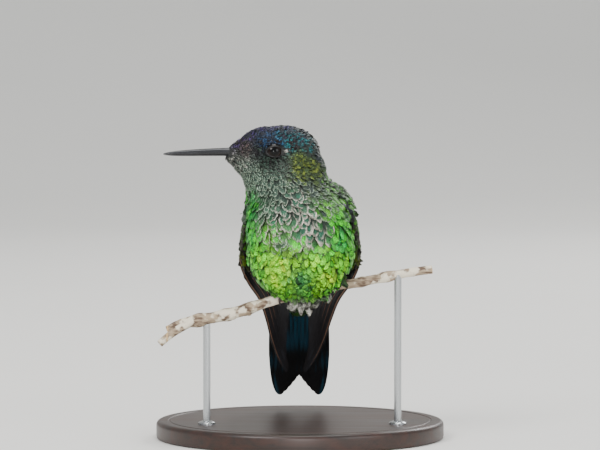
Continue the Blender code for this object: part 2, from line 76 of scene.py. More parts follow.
# The left wing's leading edge from the grip, and at the same places the way across its feathers
WING_EDGE = (
    (11.2, -0.2, 19.2),
    (12.7, 0.4, 15.8),
    (13.6, 2.2, 11.6),
    (13.7, 5.2, 6.6),
    (12.0, 8.6, 2.0),
    (9.2, 12.0, -2.2),
    (7.5, 16.2, -6.8),
    (6.2, 20.4, -11.6),
    (4.6, 24.6, -16.0),
    (2.5, 28.6, -20.0),
)
WING_ACROSS = (
    (-0.45, 0.86, 0.12),
    (-0.46, 0.86, 0.20),
    (-0.56, 0.76, 0.34),
    (-0.68, 0.62, 0.40),
    (-0.76, 0.48, 0.42),
    (-0.92, 0.26, 0.28),
    (-0.98, 0.08, 0.10),
    (-0.99, 0.04, 0.06),
    (-0.99, 0.06, 0.06),
    (-0.99, 0.06, 0.06),
)
# Both wing tips lie a little to the right, and the arm takes this share of the wing's length
WING_SWAY = -1.0
ARM_END = 0.42
TWIG_LINE = (
    (-29.0, 0.9, -8.4),
    (-25.6, 0.5, -6.7),
    (-19.4, 0.0, -5.4),
    (-14.0, -0.1, -4.2),
    (-7.0, 0.0, -1.9),
    (0.0, 0.0, 0.0),
    (6.5, 0.0, 1.4),
    (12.4, 0.1, 2.3),
    (18.4, 0.2, 3.5),
    (24.4, 0.5, 4.6),
    (29.0, 0.9, 5.2),
)
TWIG_BRANCH = ((-23.0, 0.1, -5.9), (-26.2, -0.6, -7.6), (-28.8, -1.2, -9.3), (-30.8, -1.6, -11.0))
# Swellings on the twig: place along X, how much thicker, and how long each is
TWIG_KNOTS = (
    (-22.0, 0.42, 1.6),
    (-16.0, 0.34, 1.8),
    (-11.4, 0.30, 2.0),
    (13.6, 0.22, 1.2),
    (19.0, 0.30, 1.4),
)
# How much thinner the twig gets for each millimetre along X
TWIG_TAPER = 0.004
# The cut buds on the twig: place along X and up from the grip, size, and lean in degrees
TWIG_BUDS = ((-25.4, -7.2, 0.75, 90), (-15.6, -4.0, 0.6, 80), (13.8, 3.2, 0.42, 60), (-11.2, -4.4, 0.6, -80))
# Each toe: the angles it runs between round the twig, and how far it spreads along the twig
TOES = ((100, 255, -1.25), (100, 268, 0.0), (100, 255, 1.25), (80, -62, 0.1))

# A toe's line: how many points it has, and the one where its claw begins
TOE_POINTS = 41
CLAW_POINT = 30
# A foot: half sizes of its sole, how far the sole stands over the toes, and room for the bark under them
SOLE_SIZE = (0.95, 0.72, 0.46)
SOLE_RISE = 0.16
BARK_ROOM = 0.12

# The coat: how many roots are tried on a square millimetre, and the cells they are kept in
TRIES = 26
CELL = 0.6
# How the table's rows blend: a row's weight falls off with this power of the distance squared
BLEND_REACH = 0.5
BLEND_POWER = 2.2
# A feather's patch on the map that skin and coat share
PATCH = 0.003
# A feather whose tip stands further than this off the skin is left out
STRAY = 0.9
# The pale spot behind each eye: ahead, aside and up from the skull's middle
PALE_SPOT = (1.70, 5.6, 0.75)
PALE_SPOT_RADIUS = 0.5
# Rooms without feathers: half the length and height round an eye, and radii round the bill and the twig
EYE_ROOM = (2.0, 1.42)
BILL_ROOM = 1.1
TWIG_ROOM = 3.5

# The bill: its height and its width at root and tip, its least radius, and how far the tip droops
BILL_SIZES = ((1.9, 1.14), (2.1, 1.1))
BILL_TIP_RADIUS = 0.09
BILL_DROOP = 0.40
# Across a lid, outwards: how far the opening has grown, and the height over the globe
LID_PROFILE = (
    (0.98, -0.10),
    (0.98, 0.05),
    (1.02, 0.13),
    (1.09, 0.14),
    (1.16, 0.08),
    (1.24, 0.0),
    (1.30, -0.3),
)
# Grain of the bare skin on lids and legs, and of the claws
LID_GRAIN = 0.3846
SCALE_GRAIN = 0.6667
CLAW_GRAIN = 1.6667

# The base's round edge, the ring cut in its top (inwards and down), and a rod's collar (outwards and up)
BASE_EDGE = 1.0
BASE_GROOVE = ((2.6, 0), (2.75, 0.14), (3.05, 0.14), (3.2, 0))
COLLAR_PROFILE = ((0, 0), (1.1, 0), (1.1, 0.35), (0.9, 0.55), (0.35, 0.75), (0, 0.75))

# The floor, in metres: half its width, how far it comes forward, the radius of its curve, and its height
FLOOR_SIDE = 4.0
FLOOR_FRONT = 3.0
FLOOR_CURVE = 0.9
FLOOR_HEIGHT = 4.0
FLOOR_STEPS = 12
# Lamps: name, place and diameter in metres, and power in watts
LAMPS = (
    ("key", (-0.55, -0.75, 0.75), 0.50, 9.0),
    ("fill", (0.75, -0.65, 0.35), 0.60, 4.0),
    ("top", (0.05, 0.10, 0.95), 0.55, 5.0),
    ("back", (0.45, 0.75, 0.55), 0.40, 4.0),
    ("front", (0.02, -0.85, 0.10), 0.07, 2.6),
)

# Coverts down the wing: share of its length, width, length and lift, and colours of field, others and rim
COVERT_KINDS = (
    (0.03, 1.3, 2.4, 0.35, "bronze", "crown", "dark"),
    (0.12, 1.4, 2.6, 0.35, "bronze", "dusk", "dark"),
    (0.20, 1.6, 3.2, 0.35, "bronze", "dusk", "dark"),
    (0.28, 1.9, 4.2, 0.35, "copper", "dusk", "dusk"),
    (0.36, 2.2, 5.4, 0.30, "steel", "dusk", "dusk"),
)
COVERT_RIM = 0.18

# Long feathers: thickness of a vane, how far each lies over the next, and how many rows one has
VANE_THICKNESS = 0.05
LAYER_STEP = 0.07
QUILL_ROWS = 44
# The folded primaries: as shares of the wing, how far they start under the arm, and how much each is shorter
PRIMARIES = 7
ROOT_SHARE = 0.10
PRIMARY_STEP = 0.075
PRIMARY_SHAFT = 0.20
# The tail: length under the coverts, height of its arch, and room between the middle pair
TAIL_PAIRS = 5
TAIL_SHAFT = 0.16
TAIL_COVERED = 7.0
TAIL_ARCH = 0.8
TAIL_GAP = 0.9


def linear(code):
    """An sRGB hex colour as linear red, green and blue."""
    channels = [int(code[i : i + 2], 16) / 255 for i in (1, 3, 5)]
    return tuple(c / 12.92 if c <= 0.04045 else ((c + 0.055) / 1.055) ** 2.4 for c in channels)


def colour(name, code, description):
    """A colour setting, its default given as an sRGB hex value."""
    return FloatVectorProperty(
        name=name, description=description, subtype="COLOR", size=3, min=0.0, max=1.0, default=linear(code)
    )


def length(name, millimetres, description):
    """A length setting, its default given in millimetres."""
    size = millimetres * MM
    return FloatProperty(
        name=name, description=description, subtype="DISTANCE", unit="LENGTH", min=0.0, default=size
    )


# ---- settings ----


class PlumageSettings(bpy.types.PropertyGroup):
    """Sizes and colours of the coat."""

    seed: IntProperty(name="Seed", description="Changes how the feathers happen to lie", default=7)
    body_depth: length("Body coat", 0.62, "How far the skin lies under the tips of the body feathers")
    head_depth: length("Head coat", 0.36, "How far the skin lies under the tips of the head feathers")
    violet: colour("Violet", "#3a2860", "Glitter on the forehead and front crown")
    crown: colour("Crown", "#23252f", "Dark hind crown")
    blue: colour("Blue", "#1b3c5c", "Sides of the crown")
    teal: colour("Teal", "#125a5e", "Brow behind the eye")
    slate: colour("Slate", "#2b3430", "Nape and hind neck")
    lore: colour("Lore", "#1c1516", "Between bill and eye")
    moss: colour("Moss", "#33443a", "Face under the eye")
    gold: colour("Gold", "#67742a", "Ear coverts, bright")
    olive: colour("Olive", "#3b4a24", "Ear coverts, dull")
    scale: colour("Scale", "#35493d", "Centres of the throat feathers")
    scale_rim: colour("Scale rim", "#a9bda6", "Edges of the throat feathers")
    spot: colour("Spot", "#285643", "Round spots of the upper breast")
    ash: colour("Ash", "#c9c0b4", "Pale grey ground of the upper breast")
    emerald: colour("Emerald", "#22b848", "Sides of the breast")
    green: colour("Green", "#3fbe1c", "Breast")
    lime: colour("Lime", "#86d60c", "Lower breast and belly, bright")
    yellow: colour("Yellow", "#b4dc06", "Belly, brightest")
    sea: colour("Sea green", "#0b7a55", "Parting of the belly feathers")
    # Dark green as a rim is painted shade along the edges of the green feathers, where they overlap. It is
    # also the colour of some feathers in the belly's parting.
    dark: colour("Dark green", "#0a2413", "Bases and edges of the green feathers")
    bronze: colour("Bronze", "#4b8a22", "Back")
    copper: colour("Copper", "#6d7f1c", "Back, warmer")
    down: colour("Down", "#b9b6ae", "Vent fluff and the spot behind the eye")
    grey: colour("Grey", "#77766f", "Bases of the pale feathers")
    dusk: colour("Dusk", "#2b2226", "Wing edge")
    brown: colour("Brown", "#4b3a34", "Worn feathers of the wing edge")
    steel: colour("Steel", "#16303a", "Tail coverts")


class BillEyeSettings(bpy.types.PropertyGroup):
    """Sizes and colours of the bill and the eyes."""

    bill_length: length("Bill length", 15.2, "From the face to the tip")
    bill_root: length("Bill root", 2.6, "How far the bill goes on under the feathers")
    eye_diameter: length("Eye diameter", 3.9, "Of the whole globe")
    lid_width: length("Lid opening", 3.3, "Width of the opening between the lids")
    lid_height: length("Lid height", 2.15, "Height of the opening between the lids")
    horn: colour("Horn", "#0f1015", "Bill")
    horn_worn: colour("Worn horn", "#29292d", "Ridge and edges of the bill")
    iris: colour("Iris", "#130905", "Iris")
    lid: colour("Lid", "#070608", "Bare skin of the lids")


class WingTailSettings(bpy.types.PropertyGroup):
    """Sizes and colours of the flight feathers and the tail."""

    primary_width: length("Primary width", 3.4, "Of a folded primary at its widest")
    tail_length: length("Tail length", 42.0, "From the roots to the tips of the outer pair")
    tail_fork: length("Tail fork", 5.0, "How much shorter the middle pair is")
    tail_half_width: length("Tail half width", 7.0, "From the middle to the outer edge")
    rectrix_width: length("Tail feather width", 5.2, "Of one tail feather")
    wing_black: colour("Wing black", "#17171a", "Vanes of the flight feathers")
    # Painted sheen: the lighter streaks on the flight feathers' vanes. It is also the colour of the tail's
    # shafts
    wing_sheen: colour("Wing sheen", "#2b3038", "Their lighter barbs")
    tail_black: colour("Tail black", "#0c1013", "Vanes of the tail")
    tail_blue: colour("Tail blue", "#1f5a72", "Steel-blue gloss of the tail")
    shaft: colour("Shaft", "#7a5c4c", "Shafts of the outermost primaries")


class PerchSettings(bpy.types.PropertyGroup):
    """Sizes and colours of the twig, the feet and the stand."""

    twig_radius: length("Twig radius", 1.05, "At the bird's feet")
    branch_radius: length("Side twig radius", 0.8, "Of the short side twig")
    toe_radius: length("Toe radius", 0.34, "At a toe's root")
    base_radius: length("Base radius", 32.0, "Of the stand's base")
    base_height: length("Base height", 4.0, "Of the stand's base")
    rod_radius: length("Rod radius", 0.8, "Of the stand's rods")
    bark: colour("Bark", "#a39078", "Bark")
    bark_dark: colour("Bark cracks", "#5d4a3c", "Cracks and shaded bark")
    lichen: colour("Lichen", "#ddd3bd", "Cream patches")
    cut_wood: colour("Cut wood", "#c2a273", "Sawn ends")
    leg: colour("Leg", "#3a2f2c", "Legs and toes")
    claw: colour("Claw", "#151214", "Claws")
    walnut: colour("Walnut", "#34190e", "Stand base")
    walnut_grain: colour("Walnut grain", "#20120b", "Its darker grain")
    steel: colour("Steel", "#b9bcbe", "Stand rods")


class StageSettings(bpy.types.PropertyGroup):
    """Floor, light and camera."""

    distance: length("Distance", 800.0, "From the camera to the point it looks at")
    aim_height: length("Aim height", 47.4, "Of the point the camera looks at")
    elevation: FloatProperty(
        name="Elevation",
        description="Of the camera over the horizon",
        subtype="ANGLE",
        default=math.radians(3),
    )
    lens: FloatProperty(name="Lens", description="Focal length in millimetres", min=1.0, default=216.0)
    floor: colour("Floor", "#e4e2dd", "Floor and background")


# ---- general tools ----


def add_node(tree, kind, inputs=None, **settings):
    """Adds a node with its settings. An input takes a value or another node's output."""
    made = tree.nodes.new(kind)
    for key, value in settings.items():
        setattr(made, key, value)
    for key, value in (inputs or {}).items():
        if isinstance(value, bpy.types.NodeSocket):
            tree.links.new(value, made.inputs[key])
        else:
            made.inputs[key].default_value = value
    return made


def new_material(name):
    """An empty material and its node tree."""
    material = bpy.data.materials.new(name)
    material.use_nodes = True
    material.node_tree.nodes.clear()
    return material, material.node_tree


def surface(tree, inputs, relief=None):
    """A principled surface on the material's output. Relief is a height, its strength and its depth."""
    if relief:
        height, strength, depth = relief
        bump = add_node(tree, "ShaderNodeBump", {"Strength": strength, "Distance": depth, "Height": height})
        inputs = {**inputs, "Normal": bump.outputs[0]}
    shader = add_node(tree, "ShaderNodeBsdfPrincipled", inputs)
    add_node(tree, "ShaderNodeOutputMaterial", {"Surface": shader.outputs[0]})


def shaded(tree, tone, value, darkest, lightest, span=(0.0, 1.0)):
    """A colour made darker or lighter by a value that runs over its span."""
    share = add_node(
        tree,
        "ShaderNodeMapRange",
        {"Value": value, "From Min": span[0], "From Max": span[1], "To Min": darkest, "To Max": lightest},
    )
    lit = add_node(tree, "ShaderNodeVectorMath", {0: tone, "Scale": share.outputs[0]}, operation="SCALE")
    return lit.outputs[0]


def blended(tree, value, span, first, second):
    """One colour that passes into another while a value runs over its span."""
    share = add_node(tree, "ShaderNodeMapRange", {"Value": value, "From Min": span[0], "From Max": span[1]})
    mix = add_node(tree, "ShaderNodeMix", {0: share.outputs[0], 6: first, 7: second}, data_type="RGBA")
    return mix.outputs[2]


def grained(tree, sizes, detail, turn=(0, 0, 0), distortion=0.0):
    """A cloudy pattern fixed to the piece, from the sizes of its grain in millimetres along X, Y and Z."""
    place = add_node(tree, "ShaderNodeTexCoord")
    drawn = add_node(
        tree,
        "ShaderNodeMapping",
        {"Vector": place.outputs["Object"], "Rotation": turn, "Scale": [1 / (size * MM) for size in sizes]},
    )
    clouds = add_node(
        tree,
        "ShaderNodeTexNoise",
        {"Vector": drawn.outputs[0], "Scale": 1.0, "Detail": detail, "Distortion": distortion},
    )
    return clouds.outputs[0]


def opaque(rgb):
    """A colour with full alpha, as a colour socket takes it."""
    return (*rgb, 1.0)


def mm_of(metres):
    """A setting's metres as the millimetres of the modelling."""
    return metres / MM


def piece(name, mesh, material, slot_name, *nodes):
    """A finished piece of the model, attached under the root. The named solids, whose place it takes, are
    hidden.
    """
    obj = bpy.data.objects.new(name, mesh)
    bpy.context.scene.collection.objects.link(obj)
    mesh.materials.append(material)
    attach(obj, "root")
    if nodes:
        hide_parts(*nodes)
    return obj


def metre_mesh(name, bm, sharp=40.0):
    """A bmesh in millimetres becomes a smooth-shaded mesh in metres."""
    bmesh.ops.recalc_face_normals(bm, faces=bm.faces)
    bmesh.ops.scale(bm, vec=(MM, MM, MM), verts=bm.verts)
    mesh = bpy.data.meshes.new(name)
    bm.to_mesh(mesh)
    bm.free()
    mesh.shade_smooth()
    mesh.set_sharp_from_angle(angle=math.radians(sharp))
    return mesh


def solid_copy(bm, name, swell):
    """Adds a CAD solid to a bmesh, merged and grown a little, in millimetres."""
    part = bmesh.new()
    part.from_mesh(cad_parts[name].data)
    bmesh.ops.scale(part, vec=(1 / MM,) * 3, verts=part.verts)
    bmesh.ops.remove_doubles(part, verts=part.verts, dist=0.002)
    bmesh.ops.recalc_face_normals(part, faces=part.faces)
    part.normal_update()
    for v in part.verts:
        v.co += v.normal * swell
    moved = bpy.data.meshes.new("copy")
    part.to_mesh(moved)
    part.free()
    bm.from_mesh(moved)
    bpy.data.meshes.remove(moved)


def remeshed(bm, cell, rounds):
    """Overlapping shapes fused into one skin with cells of a size, and smoothed, still in millimetres."""
    mesh = bpy.data.meshes.new("working")
    bm.to_mesh(mesh)
    bm.free()
    obj = bpy.data.objects.new("working", mesh)
    bpy.context.scene.collection.objects.link(obj)
    fuse = obj.modifiers.new("fuse", "REMESH")
    fuse.mode = "VOXEL"
    fuse.voxel_size = cell
    smooth = obj.modifiers.new("smooth", "SMOOTH")
    smooth.factor = 0.5
    smooth.iterations = rounds
    graph = bpy.context.evaluated_depsgraph_get()
    done = bpy.data.meshes.new_from_object(obj.evaluated_get(graph))
    bpy.data.objects.remove(obj)
    bm = bmesh.new()
    bm.from_mesh(done)
    return bm


def soft_bump(x, middle, reach):
    """A soft bump of height one at the middle, which has died away at about twice the reach."""
    return math.exp(-(((x - middle) / reach) ** 2))


def smooth_line(points, count):
    """count points, evenly spaced by share, on a smooth curve through the given ones."""
    points = [Vector(p) for p in points]
    ends = [2 * points[0] - points[1], *points, 2 * points[-1] - points[-2]]
    line = []
    for i in range(count):
        place = i / (count - 1) * (len(points) - 1)
        k = min(int(place), len(points) - 2)
        t = place - k
        a, b, c, d = ends[k : k + 4]
        line.append(
            0.5 * (2 * b + (c - a) * t + (2 * a - 5 * b + 4 * c - d) * t**2 + (3 * b - a - 3 * c + d) * t**3)
        )
    return line


# The wing's leading edge and the way across it, in fine steps
FINE = 1001
EDGE_FINE = smooth_line(WING_EDGE, FINE)
ACROSS_FINE = smooth_line(WING_ACROSS, FINE)


def wing_frame(side, share):
    """At a share of the wing's length: its leading edge, the way along, across the vane, and outward."""
    at = max(1, min(FINE - 2, round(share * (FINE - 1))))
    along = (EDGE_FINE[at + 1] - EDGE_FINE[at - 1]).normalized()
    across = ACROSS_FINE[at] - along * ACROSS_FINE[at].dot(along)
    across.normalize()
    out = along.cross(across).normalized()
    mirror = Vector((side, 1, 1))
    sway = Vector((WING_SWAY * share**3, 0, 0))
    edge = GRIP + EDGE_FINE[at] * mirror + sway
    return edge, along * mirror, across * mirror, out * mirror


def ring(bm, middle, side, up, segments, shape=None):
    """An oval ring of vertices round a middle. shape bends its outline: it maps an angle to a radius."""
    place = Matrix((side, up, side.cross(up).normalized())).transposed().to_4x4()
    place.translation = middle
    verts = bmesh.ops.create_circle(bm, segments=segments, radius=1.0, matrix=place)["verts"]
    if shape:
        for k, v in enumerate(verts):
            angle = 2 * math.pi * k / segments
            v.co = middle + (v.co - middle) * shape(angle)
    edges = list(dict.fromkeys(e for v in verts for e in v.link_edges))
    return verts, edges


def tube(stations, segments, shape=None):
    """A closed tube through oval rings. A station is a ring's middle and its two half axes.

    shape bends the rings: it maps a ring's number and an angle to a radius.
    """
    bm = bmesh.new()
    last = None
    for i, (middle, side, up) in enumerate(stations):
        verts, edges = ring(bm, middle, side, up, segments, shape and functools.partial(shape, i))
        if last is None:
            bm.faces.new(verts)
        else:
            bmesh.ops.bridge_loops(bm, edges=last + edges)
        last = edges
    bm.faces.new(verts)
    return bm


def line_stations(line, radii):
    """Stations of a round tube along a line, without twist."""
    stations = []
    up = Vector((0.03, 0.02, 1))
    for i, point in enumerate(line):
        along = (line[min(i + 1, len(line) - 1)] - line[max(i - 1, 0)]).normalized()
        side = along.cross(up)
        side = side.normalized() if side.length > 0.1 else along.cross(Vector((0, 1, 0))).normalized()
        top = side.cross(along).normalized()
        stations.append((point, side * radii[i], top * radii[i]))
        up = top
    return stations


def merged(target, source):
    """Adds one bmesh to another and frees it."""
    mesh = bpy.data.meshes.new("merge")
    source.to_mesh(mesh)
    source.free()
    target.from_mesh(mesh)
    bpy.data.meshes.remove(mesh)
    return target


def egg(bm, middle, half_sizes, rounds, turn=0.0, lean=0.0):
    """Adds an egg shape, turned about Z and leant about X by degrees."""
    place = (
        Matrix.Translation(middle)
        @ Matrix.Rotation(math.radians(turn), 4, "Z")
        @ Matrix.Rotation(math.radians(lean), 4, "X")
        @ Matrix.Diagonal((*half_sizes, 1.0))
    )
    bmesh.ops.create_uvsphere(bm, u_segments=2 * rounds, v_segments=rounds, radius=1.0, matrix=place)


def head_axes():
    """Forward along the bill, to the bird's left, and up."""
    turn = math.radians(HEAD_TURN)
    forward = Vector((-math.cos(turn), -math.sin(turn), 0.0))
    left = UP.cross(forward).normalized()
    return forward, left, forward.cross(left)


def head_way(ahead, left, up):
    """A way given in the head's own axes."""
    forward, sideways, upward = head_axes()
    return forward * ahead + sideways * left + upward * up


def head_point(ahead, left, up):
    """A point given from the skull's middle, in the head's own axes."""
    return GRIP + SKULL + head_way(ahead, left, up)


# ---- skin and coat: where each kind of feather grows ----

# Each row: piece, place, the way the feathers lie, width, length and lift in millimetres, the colours of the
# field, of some other feathers, of the rim, and the rim's share. Head places are ahead, aside and up from the
# skull's middle, and are given for both sides. Body places are from the grip.
HEAD_ZONES = (
    ("crown", (10.6, 0.5, 2.0), (-1, 0.1, 0.5), 0.50, 0.9, 0.22, "lore", "violet", "lore", 0.15),
    ("crown", (8.4, 1.0, 3.6), (-1, 0.1, 0.5), 0.62, 1.1, 0.30, "crown", "violet", "crown", 0.25),
    ("crown", (5.4, 1.4, 5.4), (-1, 0.1, 0.3), 0.80, 1.5, 0.36, "crown", "violet", "crown", 0.25),
    ("crown", (2.0, 1.5, 6.3), (-1, 0, 0), 0.95, 1.8, 0.36, "crown", "violet", "slate", 0.25),
    ("crown", (-2.5, 1.5, 6.0), (-1, 0, -0.2), 1.05, 2.0, 0.38, "crown", "slate", "slate", 0.25),
    ("crown", (-6.5, 1.2, 3.6), (-0.8, 0, -0.8), 1.15, 2.2, 0.42, "slate", "crown", "grey", 0.22),
    ("crown", (5.2, 3.4, 3.9), (-1, 0.1, 0.2), 0.72, 1.3, 0.30, "crown", "blue", "crown", 0.25),
    ("crown", (2.0, 4.6, 3.9), (-1, 0, 0), 0.80, 1.5, 0.32, "crown", "teal", "crown", 0.25),
    ("crown", (-1.6, 4.9, 3.4), (-1, 0, -0.15), 0.85, 1.6, 0.34, "crown", "teal", "crown", 0.25),
    ("crown", (-3.6, 5.2, 1.8), (-1, 0, -0.35), 0.85, 1.6, 0.34, "slate", "teal", "slate", 0.2),
    ("crown", (-6.4, 4.0, 0.4), (-0.8, 0, -0.7), 1.05, 2.0, 0.42, "slate", "crown", "slate", 0.2),
    ("face", (9.4, 1.7, 1.2), (-1, 0.3, 0.1), 0.45, 0.8, 0.2, "lore", "brown", "grey", 0.1),
    ("face", (6.6, 3.0, 1.0), (-1, 0.4, 0.1), 0.50, 0.9, 0.22, "lore", "moss", "crown", 0.15),
    ("face", (5.9, 3.9, 2.4), (-1, 0.2, 0.2), 0.55, 0.9, 0.36, "blue", "lore", "lore", 0.2),
    ("face", (0.2, 5.4, 2.2), (-1, 0, -0.1), 0.60, 1.0, 0.36, "lore", "teal", "lore", 0.2),
    ("face", (3.3, 5.4, 2.4), (-1, 0, 0.1), 0.50, 0.9, 0.46, "lore", "blue", "lore", 0.2),
    ("face", (3.3, 5.7, -1.1), (-1, 0, -0.1), 0.50, 0.9, 0.46, "lore", "moss", "slate", 0.15),
    ("face", (5.2, 4.6, -1.2), (-1, 0.3, -0.3), 0.55, 1.0, 0.36, "moss", "lore", "slate", 0.15),
    ("face", (2.6, 5.4, -2.2), (-1, 0.1, -0.35), 0.62, 1.1, 0.34, "moss", "slate", "grey", 0.15),
    ("face", (-1.4, 5.9, -0.9), (-1, 0, -0.4), 0.75, 1.4, 0.34, "olive", "gold", "moss", 0.15),
    ("face", (-1.8, 5.9, -3.0), (-0.9, 0, -0.6), 0.80, 1.5, 0.36, "olive", "gold", "moss", 0.15),
    ("face", (-4.4, 5.2, -2.0), (-0.9, 0, -0.6), 0.90, 1.7, 0.38, "olive", "gold", "slate", 0.15),
    ("throat", (12.0, 0.5, -1.2), (-1, 0.1, -0.3), 0.42, 0.8, 0.2, "slate", "grey", "grey", 0.2),
    ("throat", (9.6, 1.2, -2.2), (-1, 0.1, -0.5), 0.52, 1.0, 0.22, "slate", "grey", "scale_rim", 0.24),
    ("throat", (8.2, 0.8, -4.4), (-0.8, 0.1, -0.8), 0.75, 1.6, 0.28, "scale", "moss", "scale_rim", 0.26),
    ("throat", (6.4, 3.2, -4.4), (-0.7, 0.1, -0.8), 0.85, 1.7, 0.3, "scale", "moss", "scale_rim", 0.28),
    ("throat", (3.2, 4.9, -5.4), (-0.6, 0, -0.9), 1.0, 2.1, 0.34, "scale", "moss", "scale_rim", 0.26),
    ("throat", (-0.6, 5.4, -6.2), (-0.5, 0, -0.9), 1.05, 2.1, 0.36, "scale", "olive", "scale_rim", 0.26),
    ("throat", (-3.6, 5.4, -6.4), (-0.5, 0, -0.9), 1.1, 2.1, 0.4, "slate", "olive", "slate", 0.2),
)
